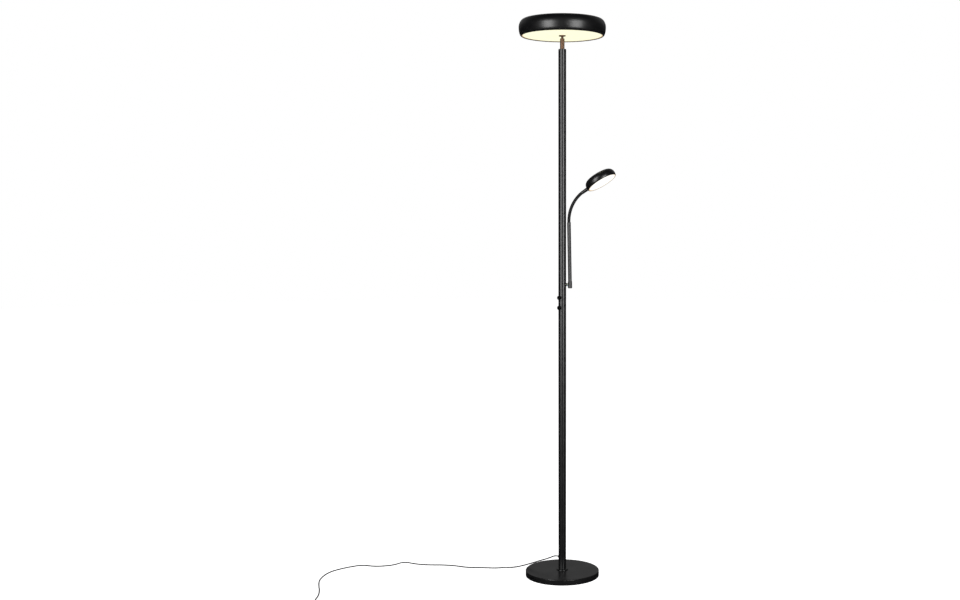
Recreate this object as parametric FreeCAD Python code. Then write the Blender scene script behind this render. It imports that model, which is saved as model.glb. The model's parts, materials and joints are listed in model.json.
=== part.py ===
"""Floor lamp with a round glowing head on a slim pole, a weighted round base, two dimmer dials,
and a side arm whose flexible neck carries a small round reading head.

Millimetres, +Z up. The origin is the middle of the foot pad's underside, on the pole's axis.
The viewer's side is -Y. Azimuths are degrees from +X, counted towards +Y.
"""

import FreeCAD, Part
import math
import os

V = FreeCAD.Vector
X, Y, Z = V(1, 0, 0), V(0, 1, 0), V(0, 0, 1)

# --- clearances ---
PRESS_GAP = 0.05  # all round a plug inside a tube
THREAD_GAP = 0.05  # all round a screw thread
RUNNING_GAP = 0.05  # all round a shaft, pin or ball that turns
HOLE_GAP = 0.3  # all round a part that only passes through a hole
FREE_GAP = 0.3  # between pieces that move past each other

# --- base ---
BASE_DIAMETER = 240.0
BASE_HEIGHT = 19.0
COVER_WALL = 1.2
COVER_EDGE_RADIUS = 2.0
COVER_OVER_FLOOR = 1.0
PAD_THICKNESS = 2.0
PAD_INSET = 5.0
WEIGHT_GAP = 1.0  # between the weight's rim and the cover's skirt
WEIGHT_CHAMFER = 3.0
STUD_RADIUS = 5.0
STUD_OVER_PAD = 0.6
BASE_NUT_ACROSS = 17.0
BASE_NUT_HEIGHT = 4.6
BASE_NUT_RECESS = 14.0  # radius of the pocket under the weight
COLLAR_RADIUS = 19.0
COLLAR_HEIGHT = 3.6
COLLAR_RIM = 1.0

# --- pole ---
POLE_DIAMETER = 25.0
POLE_WALL = 1.2
POLE_TOP = 1707.0
POLE_JOINTS = (440.0, 870.0, 1280.0)
JOINT_SEAM = 0.8  # the couplers' thin flange, which shows as a hairline groove
SEAM_DEPTH = 0.15
COUPLER_REACH = 22.0  # into each tube
COUPLER_BORE = 8.0
INSERT_LENGTH = 30.0
INSERT_ROOF = 6.0
CAP_RIM = 2.4
CAP_EDGE_RADIUS = 0.8
CAP_SHANK = 14.0

# --- neck and ball joint under the head ---
NECK_RADIUS = 7.2
BALL_CENTRE = 1737.5
BALL_RADIUS = 6.0
LIP_OVER_BALL = 3.4  # the housing's lip above the ball's centre
NECK_SHOULDER = 1.7
SPIGOT_RADIUS = 5.4
SPIGOT_LENGTH = 12.0
NECK_LEAD_BORE = 3.0
SEAT_LENGTH = 8.0
SEAT_BORE = 2.2
SEAT_UNDER_CENTRE = 1.5
SPRING_WASHERS = 3
SPRING_WASHER_THICKNESS = 0.8
STEM_RADIUS = 4.25
STEM_WAIST = 2.9
STEM_WAIST_TOP = 5.0  # above the ball's centre
STEM_CONE_TOP = 6.5
STEM_BORE = 1.7
FLANGE_RADIUS = 11.0
FLANGE_THICKNESS = 2.4
TAIL_RADIUS = 4.0

# --- head ---
HEAD_DIAMETER = 278.3
HEAD_BOTTOM = 1748.0
HEAD_TOP = 1800.0
HEAD_WIDEST = 1774.5
HEAD_WALL = 1.6
BOTTOM_OPENING = 129.4  # radius
TOP_OPENING = 118.0  # radius
BOTTOM_ROUNDING = 8.75  # from the lower edge out to the widest part
TOP_ROUNDING = 16.65
DIFFUSER_THICKNESS = 2.5
PLATE_HEIGHT = 1773.5  # underside of the LED plate
PLATE_THICKNESS = 2.0
PLATE_RADIUS = 136.4
LEDGE_INNER = 131.4
LEDGE_THICKNESS = 2.4
BOARD_OUTER = 112.0
BOARD_INNER = 22.0
BOARD_THICKNESS = 1.6
LED_RINGS = ((50.0, 12), (92.0, 24))  # radius and count
LED_SIZE = (3.5, 2.8, 0.8)
SPACER_RADIUS = 7.0
HUB_NUT_ACROSS = 13.0
HUB_NUT_HEIGHT = 5.0
PLATE_SCREWS = 3
PLATE_SCREW_CIRCLE = 133.9
SCREW_RADIUS = 1.5
SCREW_HEAD_RADIUS = 2.2
SCREW_HEAD_HEIGHT = 1.8

# --- dimmer dials ---
DIAL_AZIMUTH = -131.5
DIAL_HEIGHTS = {"upper": 912.6, "lower": 880.3}
KNOB_RADIUS = 6.75
KNOB_CLEARANCE = 0.45  # between the pole's surface and the knob's back
KNOB_LENGTH = 5.4
KNOB_EDGE_RADIUS = 0.9
KNOB_RECESS_RADIUS = 5.7
KNOB_RECESS_DEPTH = 2.0
KNOB_WEB = 1.6  # the knob's face thickness over its shaft
SHAFT_RADIUS = 2.0
POT_RADIUS = 4.6
POT_INSET = 1.35  # between the tube's bore and the dimmer's front
POT_LENGTH = 6.2
BUSHING_RADIUS = 3.2
BUSHING_STAND = 2.05  # out of the pole's surface
DIAL_NUT_ACROSS = 8.0
DIAL_NUT_HEIGHT = 1.85  # over the pole's surface

# --- reading arm ---
ARM_AZIMUTH = -24.0
ARM_HEIGHT = 955.0
HUB_REACH = 27.3  # the hub's middle from the pole's axis
ARM_LEAN = 1.13  # degrees towards the pole
STUB_RADIUS = 5.0
STUB_PIN_RADIUS = 3.0
STUB_PIN_END = 3.6  # past the hub's middle
STUB_BORE = 1.7
STUB_THREAD_RADIUS = 3.5
STUB_INNER_END = 6.0
STUB_NUT_ACROSS = 9.0
STUB_NUT_INSET = 1.5  # between the tube's bore and the nut's outer face
STUB_NUT_HEIGHT = 2.6
WASHER_THICKNESS = 0.8
HUB_RADIUS = 6.75
HUB_BELOW = 11.4
HUB_ABOVE = 10.9
HUB_CHAMFER = 1.2
HUB_SPIGOT = 12.0
ARM_TUBE_RADIUS = 6.0
ARM_TUBE_WALL = 0.9
ARM_TUBE_TOP = 199.6  # above the hub's middle, along the arm
FERRULE_LENGTH = 12.0
FERRULE_RIM = 1.4

# --- flexible neck ---
HOSE_RADIUS = 4.5
HOSE_BORE = 1.5
HOSE_START = 202.6  # where the bend begins, along the arm
HOSE_BEND_RADIUS = 112.0
HOSE_HINGES = 5
HOSE_BALL = 3.9
HOSE_GAP = 1.7  # each side of a hinge point
HOSE_LAST_RUN = 9.5  # from the last hinge to the bend's end

# --- reading head ---
READING_TILT = 32.5  # degrees between the reading light's aim and straight down
READING_DIAMETER = 103.0
READING_THICKNESS = 27.0
READING_UNDER = 11.0  # from the sleeve's axis down to the underside
READING_WALL = 1.4
READING_OPENING = 48.2  # radius
READING_BOTTOM_ROUNDING = 2.8
READING_TOP_ROUNDING = 14.5
READING_DIFFUSER_THICKNESS = 2.0
READING_RECESS = 0.6  # the diffuser's face inside the shell's lower edge
READING_BOARD_RADIUS = 38.0
READING_BOARD_HEIGHT = 3.0
READING_LEDS = ((14.0, 6), (28.0, 10))
READING_POST_RADIUS = 3.5
READING_POSTS = 3
READING_POST_CIRCLE = 33.0
SLEEVE_RUN = 18.0  # from the bend's end to the head's rim
SLEEVE_OVERLAP = 6.0  # back over the flexible neck
SLEEVE_START_RADIUS = 5.2
SLEEVE_RADIUS = 6.0
SLEEVE_INSIDE = 8.0  # past the rim
SLEEVE_NUT_ACROSS = 13.2
SLEEVE_NUT_HEIGHT = 2.4

# --- wiring ---
CORD_RADIUS = 2.0
LEAD_RADIUS = 1.5
ARM_LEAD_RADIUS = 1.3
LEAD_LINE = (3.64, 4.12)  # where the leads run up the pole, behind the dimmers
CORD_AZIMUTH = 150.0
CORD_EXIT_HEIGHT = 61.0
CORD_EXIT = 15.4  # the grommet's outer face, from the pole's axis
GROMMET_HOLE = 3.6
GROMMET_FLANGE = 5.0
GROMMET_TIP = 2.9

# --- free cord: its route by hand, from the grommet to the coil and from the coil to the adapter ---
CORD_ROUTE = [
    (-13.34, 7.7, 61.0),
    (-25.4, 14.7, 61.0),
    (-41.0, 17.5, 52.5),
    (-70.5, 18.0, 44.0),
    (-106.5, 24.5, 31.0),
    (-137.5, 53.0, 14.5),
    (-166.0, 79.0, 2.2),
    (-190.0, 80.5, 2.2),
    (-223.0, 70.5, 2.2),
    (-268.0, 77.5, 2.2),
    (-318.0, 78.0, 2.2),
    (-359.0, 99.0, 2.2),
    (-404.0, 108.5, 2.2),
    (-450.0, 108.0, 2.2),
    (-494.0, 118.0, 2.2),
    (-527.0, 139.5, 2.2),
    (-549.0, 135.0, 2.2),
    (-563.0, 113.0, 2.2),
    (-590.0, 97.0, 2.2),
    (-632.0, 90.5, 2.2),
    (-674.0, 107.5, 2.2),
    (-707.0, 89.0, 2.2),
    (-738.0, 64.0, 2.2),
    (-767.0, 30.0, 2.2),
    (-781.0, -15.0, 2.2),
    (-785.0, -66.0, 2.2),
    (-776.0, -118.0, 2.2),
    (-763.0, -170.0, 2.2),
    (-755.0, -222.0, 2.2),
    (-757.0, -268.0, 2.2),
    (-754.5, -312.0, 2.2),
    (-755.2, -350.0, 2.2),
]
COIL_CENTRE = (-730.0, -362.0)
COIL_RADIUS = 23.0  # at the middle of the turns
COIL_WIDTH = 8.8
COIL_HEIGHT = 12.6
COIL_ROUNDING = 3.0
TAIL_ROUTE = [
    (-719.0, -386.3, 10.8),
    (-707.0, -387.4, 12.2),
    (-693.0, -390.0, 14.0),
    (-679.0, -390.0, 14.0),
]
TIE_WIDTH = 5.0
TIE_THICKNESS = 0.8
TIE_AZIMUTH = 62.0

# --- plug-in adapter on the cord's end ---
ADAPTER_FACE = -655.0  # x of its cord end
ADAPTER_Y = -390.0
ADAPTER_LENGTH = 60.0
ADAPTER_WIDTH = 38.0
ADAPTER_THICKNESS = 28.0
ADAPTER_ROUNDING = 5.0
ADAPTER_SEAM = 0.4
RELIEF_LENGTH = 24.0
RELIEF_ROOT = 4.6
RELIEF_TIP = 2.8
PLUG_PIN_RADIUS = 2.0
PLUG_PIN_LENGTH = 19.0
PLUG_PIN_SPACING = 19.0
PLUG_BASE_RADIUS = 16.0
PLUG_BASE_HEIGHT = 3.0

# --- worked out ---
BASE_RADIUS = BASE_DIAMETER / 2
COVER_CEILING = BASE_HEIGHT - COVER_WALL
POLE_RADIUS = POLE_DIAMETER / 2
POLE_BORE = POLE_RADIUS - POLE_WALL
KNOB_BACK = POLE_RADIUS + KNOB_CLEARANCE  # distances along a dial's axis are from the pole's axis
KNOB_FACE = KNOB_BACK + KNOB_LENGTH
POT_FRONT = POLE_BORE - POT_INSET
BUSHING_END = POLE_RADIUS + BUSHING_STAND
DIAL_NUT_FACE = POLE_RADIUS + DIAL_NUT_HEIGHT
STUB_NUT_FACE = POLE_BORE - STUB_NUT_INSET
TUBE_TOP = POLE_TOP - CAP_RIM
HEAD_RADIUS = HEAD_DIAMETER / 2
FLANGE_TOP = HEAD_BOTTOM + FLANGE_THICKNESS
ARM_TUBE_BORE = ARM_TUBE_RADIUS - ARM_TUBE_WALL
HUB_FACE = HUB_REACH - HUB_RADIUS - 0.6  # the hub's flat boss towards the pole
WASHER_BACK = HUB_FACE - 0.1 - WASHER_THICKNESS
HOSE_TURN = 90.0 - READING_TILT + ARM_LEAN  # the flexible neck's whole bend, in degrees
READING_RADIUS = READING_DIAMETER / 2
READING_REACH = HOSE_LAST_RUN + SLEEVE_RUN + READING_RADIUS  # last hinge to the head's middle


def tube(outer, inner, low, high):
    """An upright tube on the Z axis."""
    length = high - low
    return Part.makeCylinder(outer, length, V(0, 0, low)).cut(
        Part.makeCylinder(inner, length, V(0, 0, low))
    )


def rod(radius, low, high):
    """An upright round bar on the Z axis."""
    return Part.makeCylinder(radius, high - low, V(0, 0, low))


def hexagon(across, low, high):
    """An upright hexagonal bar on the Z axis."""
    reach = across / 2 / math.cos(math.pi / 6)
    corners = [
        V(reach * math.cos(k * math.pi / 3), reach * math.sin(k * math.pi / 3), low)
        for k in range(7)
    ]
    return Part.Face(Part.makePolygon(corners)).extrude(V(0, 0, high - low))


def quarter_ellipse(centre, start, end):
    """A quarter of an ellipse in the XZ plane; start and end lie level with or plumb to the centre."""
    if (start - centre).Length < (end - centre).Length:
        start, end = end, start
    return Part.ArcOfEllipse(Part.Ellipse(start, end, centre), 0, math.pi / 2).toShape()


def quarter_circle(centre, start, end):
    """A quarter circle in the XZ plane between two points."""
    middle = centre + ((start - centre) + (end - centre)).normalize() * (start - centre).Length
    return Part.Arc(start, middle, end).toShape()


def turned(*steps):
    """A solid of revolution about Z. Each step is (r, z), or (r, z, curve, centre r, centre z)."""
    points = [V(s[0], 0, s[1]) for s in steps]
    edges = []
    for index, step in enumerate(steps):
        start, end = points[index - 1], points[index]
        if len(step) > 2:
            edges.append(step[2](V(step[3], 0, step[4]), start, end))
        elif (end - start).Length > 1e-6:
            edges.append(Part.LineSegment(start, end).toShape())
    return Part.Face(Part.Wire(edges)).revolve(V(0, 0, 0), Z, 360)


def placed(shape, placement):
    """A copy of the shape, moved."""
    copy = shape.copy()
    copy.Placement = placement.multiply(copy.Placement)
    return copy


def radial(shape, azimuth, height):
    """Moves a shape made on the Z axis onto a level axis that points away from the pole."""
    turn = FreeCAD.Rotation(Z, azimuth).multiply(FreeCAD.Rotation(Y, 90))
    return placed(shape, FreeCAD.Placement(V(0, 0, height), turn))


def around(shape, count, start=0.0):
    """Copies of a shape, evenly round the Z axis, as separate solids."""
    copies = []
    for k in range(count):
        turn = FreeCAD.Placement(V(0, 0, 0), FreeCAD.Rotation(Z, start + 360.0 * k / count))
        copies.append(placed(shape, turn))
    return copies


def group(shapes):
    """Separate solids in one node."""
    return Part.makeCompound([solid for shape in shapes for solid in shape.Solids])


# --- frames of the arm and of the reading head ---

ARM_FRAME = FreeCAD.Placement(V(0, 0, ARM_HEIGHT), FreeCAD.Rotation(Z, ARM_AZIMUTH)).multiply(
    FreeCAD.Placement(V(HUB_REACH, 0, 0), FreeCAD.Rotation(Y, -ARM_LEAN))
)


def bend_point(degrees):
    """A point on the flexible neck's bend, in the arm's frame, at that much turn."""
    turn = math.radians(degrees)
    return V(
        HOSE_BEND_RADIUS * (1 - math.cos(turn)), 0, HOSE_START + HOSE_BEND_RADIUS * math.sin(turn)
    )


def hinge_points():
    """The flexible neck's hinge points in the arm's frame, evenly along the bend."""
    return [bend_point(HOSE_TURN * (k + 0.5) / HOSE_HINGES) for k in range(HOSE_HINGES)]


END_TURN = math.radians(HOSE_TURN)
END_DIRECTION = V(math.sin(END_TURN), 0, math.cos(END_TURN))
READING_FRAME = ARM_FRAME.multiply(
    FreeCAD.Placement(
        hinge_points()[-1] + END_DIRECTION * READING_REACH,
        FreeCAD.Rotation(Y, HOSE_TURN - 90.0),
    )
)


def in_arm(shape):
    """From the arm's own frame, hub at the origin and tube along +Z, into the lamp."""
    return placed(shape, ARM_FRAME)


def in_reading_head(shape):
    """From the reading head's own frame, light down and arm towards -X, into the lamp."""
    return placed(shape, READING_FRAME)


# --- base ---


def base_cover():
    """Spun steel shell over the weight."""
    inner_edge = COVER_EDGE_RADIUS - COVER_WALL
    inner = BASE_RADIUS - COVER_WALL
    hole = STUD_RADIUS + HOLE_GAP
    edge = BASE_RADIUS - COVER_EDGE_RADIUS
    return turned(
        (BASE_RADIUS, COVER_OVER_FLOOR),
        (BASE_RADIUS, BASE_HEIGHT - COVER_EDGE_RADIUS),
        (edge, BASE_HEIGHT, quarter_circle, edge, BASE_HEIGHT - COVER_EDGE_RADIUS),
        (hole, BASE_HEIGHT),
        (hole, COVER_CEILING),
        (inner - inner_edge, COVER_CEILING),
        (inner, COVER_CEILING - inner_edge, quarter_circle, inner - inner_edge, COVER_CEILING - inner_edge),
        (inner, COVER_OVER_FLOOR),
    )


def base_weight():
    """Cast iron disc with a pocket for the nut underneath."""
    rim = BASE_RADIUS - COVER_WALL - WEIGHT_GAP
    pocket_roof = PAD_THICKNESS + STUD_OVER_PAD + BASE_NUT_HEIGHT
    bore = STUD_RADIUS + HOLE_GAP
    return turned(
        (BASE_NUT_RECESS, PAD_THICKNESS),
        (rim, PAD_THICKNESS),
        (rim, COVER_CEILING - WEIGHT_CHAMFER),
        (rim - WEIGHT_CHAMFER, COVER_CEILING),
        (bore, COVER_CEILING),
        (bore, pocket_roof),
        (BASE_NUT_RECESS, pocket_roof),
    )


def foot_pad():
    """Felt disc that the lamp stands on."""
    return rod(BASE_RADIUS - PAD_INSET, 0, PAD_THICKNESS)


def base_stud():
    """Threaded rod that draws the pole onto the base."""
    top = BASE_HEIGHT + INSERT_LENGTH - INSERT_ROOF - 1.0
    return rod(STUD_RADIUS, PAD_THICKNESS + STUD_OVER_PAD, top)


def base_nut():
    """Thin nut in the pocket under the weight."""
    low = PAD_THICKNESS + STUD_OVER_PAD
    high = low + BASE_NUT_HEIGHT
    return hexagon(BASE_NUT_ACROSS, low, high).cut(rod(STUD_RADIUS + THREAD_GAP, low, high))


def foot_collar():
    """Low trim ring round the pole's foot."""
    bore = POLE_RADIUS + PRESS_GAP
    top = BASE_HEIGHT + COLLAR_HEIGHT
    return turned(
        (bore, BASE_HEIGHT),
        (COLLAR_RADIUS, BASE_HEIGHT),
        (COLLAR_RADIUS, BASE_HEIGHT + COLLAR_RIM),
        (bore + 2.0, top, quarter_ellipse, bore + 2.0, BASE_HEIGHT + COLLAR_RIM),
        (bore, top),
    )


def pole_foot_insert():
    """Steel plug in the pole's foot, threaded for the stud."""
    top = BASE_HEIGHT + INSERT_LENGTH
    thread = rod(STUD_RADIUS + THREAD_GAP, BASE_HEIGHT, top - INSERT_ROOF)
    return rod(POLE_BORE - PRESS_GAP, BASE_HEIGHT, top).cut(thread)


# --- pole ---


def pole_holes():
    """Cutters for every hole in the pole's wall."""
    cutters = [radial(rod(GROMMET_HOLE, 0, BASE_RADIUS), CORD_AZIMUTH, CORD_EXIT_HEIGHT)]
    for height in DIAL_HEIGHTS.values():
        cutters.append(radial(rod(BUSHING_RADIUS + THREAD_GAP, 0, BASE_RADIUS), DIAL_AZIMUTH, height))
    cutters.append(radial(rod(STUB_THREAD_RADIUS + THREAD_GAP, 0, BASE_RADIUS), ARM_AZIMUTH, ARM_HEIGHT))
    return cutters


def pole_section(number):
    """One of the pole's steel tubes, counted from the foot."""
    stops = [BASE_HEIGHT, *POLE_JOINTS, TUBE_TOP]
    low = stops[number] + (JOINT_SEAM / 2 if number else 0)
    high = stops[number + 1] - (JOINT_SEAM / 2 if number < len(POLE_JOINTS) else 0)
    section = tube(POLE_RADIUS, POLE_BORE, low, high)
    for cutter in pole_holes():
        if low < cutter.BoundBox.Center.z < high:
            section = section.cut(cutter)
    return section


def dial_notches():
    """Cutters that leave room for a dimmer where one sits inside a coupler, open at the top."""
    reach = POT_RADIUS + FREE_GAP
    cutters = []
    for height in DIAL_HEIGHTS.values():
        slot = rod(reach, 0, POLE_RADIUS).fuse(
            Part.makeBox(COUPLER_REACH, 2 * reach, POLE_RADIUS, V(-COUPLER_REACH, -reach, 0))
        )
        cutters.append(radial(slot, DIAL_AZIMUTH, height))
    return cutters


def pole_couplers():
    """Turned couplers inside the pole, one at each joint, notched round a dimmer."""
    sleeve = POLE_BORE - PRESS_GAP
    flange = POLE_RADIUS - SEAM_DEPTH
    couplers = []
    for joint in POLE_JOINTS:
        low, high = joint - JOINT_SEAM / 2, joint + JOINT_SEAM / 2
        couplers.append(
            turned(
                (COUPLER_BORE, joint - COUPLER_REACH),
                (sleeve, joint - COUPLER_REACH),
                (sleeve, low),
                (flange, low),
                (flange, high),
                (sleeve, high),
                (sleeve, joint + COUPLER_REACH),
                (COUPLER_BORE, joint + COUPLER_REACH),
            )
        )
    return group([coupler.cut(dial_notches()) for coupler in couplers])


def pole_top_cap():
    """Turned plug that closes the pole's top and holds the neck."""
    bore = SPIGOT_RADIUS + THREAD_GAP
    shank = POLE_BORE - PRESS_GAP
    edge = POLE_RADIUS - CAP_EDGE_RADIUS
    return turned(
        (bore, TUBE_TOP - CAP_SHANK),
        (shank, TUBE_TOP - CAP_SHANK),
        (shank, TUBE_TOP),
        (POLE_RADIUS, TUBE_TOP),
        (POLE_RADIUS, POLE_TOP - CAP_EDGE_RADIUS),
        (edge, POLE_TOP, quarter_circle, edge, POLE_TOP - CAP_EDGE_RADIUS),
        (bore, POLE_TOP),
    )


# --- neck and ball joint ---


def neck_housing():
    """Socket that clamps the ball under the head."""
    lip = BALL_CENTRE + LIP_OVER_BALL
    bore = BALL_RADIUS + RUNNING_GAP
    seat_floor = BALL_CENTRE - SEAT_UNDER_CENTRE - SEAT_LENGTH
    spring_floor = seat_floor - 0.1 - SPRING_WASHERS * SPRING_WASHER_THICKNESS
    shoulder = NECK_RADIUS - NECK_SHOULDER
    body = turned(
        (0, POLE_TOP - SPIGOT_LENGTH),
        (SPIGOT_RADIUS, POLE_TOP - SPIGOT_LENGTH),
        (SPIGOT_RADIUS, POLE_TOP),
        (NECK_RADIUS, POLE_TOP),
        (NECK_RADIUS, lip - NECK_SHOULDER),
        (shoulder, lip, quarter_circle, shoulder, lip - NECK_SHOULDER),
        (0, lip),
    )
    body = body.cut(rod(bore, spring_floor, BALL_CENTRE))
    body = body.cut(Part.makeSphere(bore, V(0, 0, BALL_CENTRE)))
    return body.cut(rod(NECK_LEAD_BORE, POLE_TOP - SPIGOT_LENGTH, spring_floor))


def neck_spring():
    """Stack of spring washers that presses the seat against the ball."""
    top = BALL_CENTRE - SEAT_UNDER_CENTRE - SEAT_LENGTH - 0.1
    washers = []
    for k in range(SPRING_WASHERS):
        high = top - k * SPRING_WASHER_THICKNESS
        low = high - SPRING_WASHER_THICKNESS
        washers.append(tube(BALL_RADIUS - FREE_GAP, NECK_LEAD_BORE, low, high))
    return group(washers)


def neck_seat():
    """Nylon cup under the ball, which turns with it."""
    top = BALL_CENTRE - SEAT_UNDER_CENTRE
    cup = tube(BALL_RADIUS - RUNNING_GAP, SEAT_BORE, top - SEAT_LENGTH, top)
    return cup.cut(Part.makeSphere(BALL_RADIUS + RUNNING_GAP, V(0, 0, BALL_CENTRE)))


def ball_stem():
    """Ball, stem, flange and threaded end, turned in one piece."""
    waist_foot = BALL_CENTRE + math.sqrt(BALL_RADIUS**2 - STEM_WAIST**2)
    waist_top = BALL_CENTRE + STEM_WAIST_TOP
    cone_top = BALL_CENTRE + STEM_CONE_TOP
    top = PLATE_HEIGHT + PLATE_THICKNESS + HUB_NUT_HEIGHT + 2.0
    stem = turned(
        (0, BALL_CENTRE),
        (STEM_WAIST, BALL_CENTRE),
        (STEM_WAIST, max(waist_top, waist_foot)),
        (STEM_RADIUS, cone_top),
        (STEM_RADIUS, HEAD_BOTTOM),
        (FLANGE_RADIUS, HEAD_BOTTOM),
        (FLANGE_RADIUS, FLANGE_TOP),
        (TAIL_RADIUS, FLANGE_TOP),
        (TAIL_RADIUS, top),
        (0, top),
    )
    ball = Part.makeSphere(BALL_RADIUS, V(0, 0, BALL_CENTRE))
    bore = rod(STEM_BORE, BALL_CENTRE - BALL_RADIUS, top)
    return stem.fuse(ball).removeSplitter().cut(bore)


# --- head ---


def head_shell():
    """Spun aluminium ring, barrel shaped, with a ledge inside for the LED plate."""
    mouth = BOTTOM_OPENING + 1.0
    brow = HEAD_RADIUS - TOP_ROUNDING
    skin = HEAD_RADIUS - HEAD_WALL
    low_centre = HEAD_RADIUS - BOTTOM_ROUNDING
    shell = turned(
        (BOTTOM_OPENING, HEAD_BOTTOM),
        (low_centre, HEAD_BOTTOM),
        (HEAD_RADIUS, HEAD_WIDEST, quarter_ellipse, low_centre, HEAD_WIDEST),
        (brow, HEAD_TOP, quarter_ellipse, brow, HEAD_WIDEST),
        (TOP_OPENING, HEAD_TOP),
        (TOP_OPENING, HEAD_TOP - HEAD_WALL),
        (brow, HEAD_TOP - HEAD_WALL),
        (skin, HEAD_WIDEST, quarter_ellipse, brow, HEAD_WIDEST),
        (mouth, HEAD_BOTTOM + HEAD_WALL, quarter_ellipse, mouth, HEAD_WIDEST),
        (BOTTOM_OPENING, HEAD_BOTTOM + HEAD_WALL),
    )
    ledge = tube(HEAD_RADIUS - HEAD_WALL / 2, LEDGE_INNER, PLATE_HEIGHT - LEDGE_THICKNESS, PLATE_HEIGHT)
    screws = around(
        placed(
            rod(SCREW_RADIUS + THREAD_GAP, PLATE_HEIGHT - LEDGE_THICKNESS, PLATE_HEIGHT),
            FreeCAD.Placement(V(PLATE_SCREW_CIRCLE, 0, 0), FreeCAD.Rotation()),
        ),
        PLATE_SCREWS,
    )
    return shell.fuse(ledge).removeSplitter().cut(screws)


def dish(radius, floor, roof, thickness, bore):
    """A flat disc with a wall round its edge that reaches from floor to roof."""
    disc_top = floor + thickness if floor < roof else floor - thickness
    return turned(
        (bore, floor),
        (radius, floor),
        (radius, roof),
        (radius - thickness, roof),
        (radius - thickness, disc_top),
        (bore, disc_top),
    )


def bottom_diffuser():
    """Opal dish over the lower LEDs, clamped between the stem's flange and the plate."""
    radius = BOTTOM_OPENING - FREE_GAP
    return dish(radius, FLANGE_TOP, PLATE_HEIGHT, DIFFUSER_THICKNESS, TAIL_RADIUS + HOLE_GAP)


def top_diffuser():
    """Opal dish over the upper LEDs, under the shell's upper lip."""
    floor = HEAD_TOP - HEAD_WALL
    radius = TOP_OPENING + 3.5
    outline_top = floor - DIFFUSER_THICKNESS
    return turned(
        (0, floor),
        (radius, floor),
        (radius, PLATE_HEIGHT + PLATE_THICKNESS),
        (radius - DIFFUSER_THICKNESS, PLATE_HEIGHT + PLATE_THICKNESS),
        (radius - DIFFUSER_THICKNESS, outline_top),
        (0, outline_top),
    )


def led_plate():
    """Aluminium disc that carries both LED boards and spreads their heat."""
    low, high = PLATE_HEIGHT, PLATE_HEIGHT + PLATE_THICKNESS
    screws = around(
        placed(
            rod(SCREW_RADIUS + HOLE_GAP, low, high),
            FreeCAD.Placement(V(PLATE_SCREW_CIRCLE, 0, 0), FreeCAD.Rotation()),
        ),
        PLATE_SCREWS,
    )
    return tube(PLATE_RADIUS, TAIL_RADIUS + HOLE_GAP, low, high).cut(screws)


def led_boards():
    """Ring-shaped circuit boards under and over the plate."""
    top = PLATE_HEIGHT + PLATE_THICKNESS
    return group(
        [
            tube(BOARD_OUTER, BOARD_INNER, PLATE_HEIGHT - BOARD_THICKNESS, PLATE_HEIGHT),
            tube(BOARD_OUTER, BOARD_INNER, top, top + BOARD_THICKNESS),
        ]
    )


def led_ring(rings, low):
    """LED packages in rings, each its own solid, standing on a height."""
    length, width, height = LED_SIZE
    leds = []
    for radius, count in rings:
        chip = Part.makeBox(length, width, height, V(radius - length / 2, -width / 2, low))
        leds += around(chip, count)
    return leds


def head_leds():
    """LED packages on both boards."""
    under = PLATE_HEIGHT - BOARD_THICKNESS - LED_SIZE[2]
    over = PLATE_HEIGHT + PLATE_THICKNESS + BOARD_THICKNESS
    return group(led_ring(LED_RINGS, under) + led_ring(LED_RINGS, over))


def hub_spacer():
    """Tube between the lower diffuser and the plate."""
    return tube(SPACER_RADIUS, TAIL_RADIUS + HOLE_GAP, FLANGE_TOP + DIFFUSER_THICKNESS, PLATE_HEIGHT)


def hub_nut():
    """Nut that clamps plate, spacer and diffuser onto the stem's flange."""
    low = PLATE_HEIGHT + PLATE_THICKNESS
    high = low + HUB_NUT_HEIGHT
    return hexagon(HUB_NUT_ACROSS, low, high).cut(rod(TAIL_RADIUS + THREAD_GAP, low, high))


def head_screws():
    """Screws that hold the plate on the shell's ledge."""
    face = PLATE_HEIGHT + PLATE_THICKNESS
    screw = rod(SCREW_HEAD_RADIUS, face, face + SCREW_HEAD_HEIGHT).fuse(
        rod(SCREW_RADIUS, PLATE_HEIGHT - LEDGE_THICKNESS, face)
    )
    screw = placed(screw, FreeCAD.Placement(V(PLATE_SCREW_CIRCLE, 0, 0), FreeCAD.Rotation()))
    return group(around(screw, PLATE_SCREWS))


# --- dimmer dials ---


def dimmer_pots():
    """Rotary dimmers inside the pole, with their threaded bushings."""
    body = rod(POT_RADIUS, POT_FRONT - POT_LENGTH, POT_FRONT)
    bushing = rod(BUSHING_RADIUS, POT_FRONT, BUSHING_END)
    bore = rod(SHAFT_RADIUS + RUNNING_GAP, POT_FRONT - POT_LENGTH + 1.5, BUSHING_END)
    pot = body.fuse(bushing).cut(bore)
    return group([radial(pot, DIAL_AZIMUTH, height) for height in DIAL_HEIGHTS.values()])


def dimmer_nuts():
    """Nuts with saddle-shaped backs that clamp the dimmers to the pole."""
    nut = hexagon(DIAL_NUT_ACROSS, POLE_RADIUS - 1.5, DIAL_NUT_FACE)
    nut = nut.cut(rod(BUSHING_RADIUS + THREAD_GAP, POLE_RADIUS - 2.0, DIAL_NUT_FACE))
    nuts = []
    for height in DIAL_HEIGHTS.values():
        wall = rod(POLE_RADIUS + 0.02, height - BASE_HEIGHT, height + BASE_HEIGHT)
        nuts.append(radial(nut, DIAL_AZIMUTH, height).cut(wall))
    return group(nuts)


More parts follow.
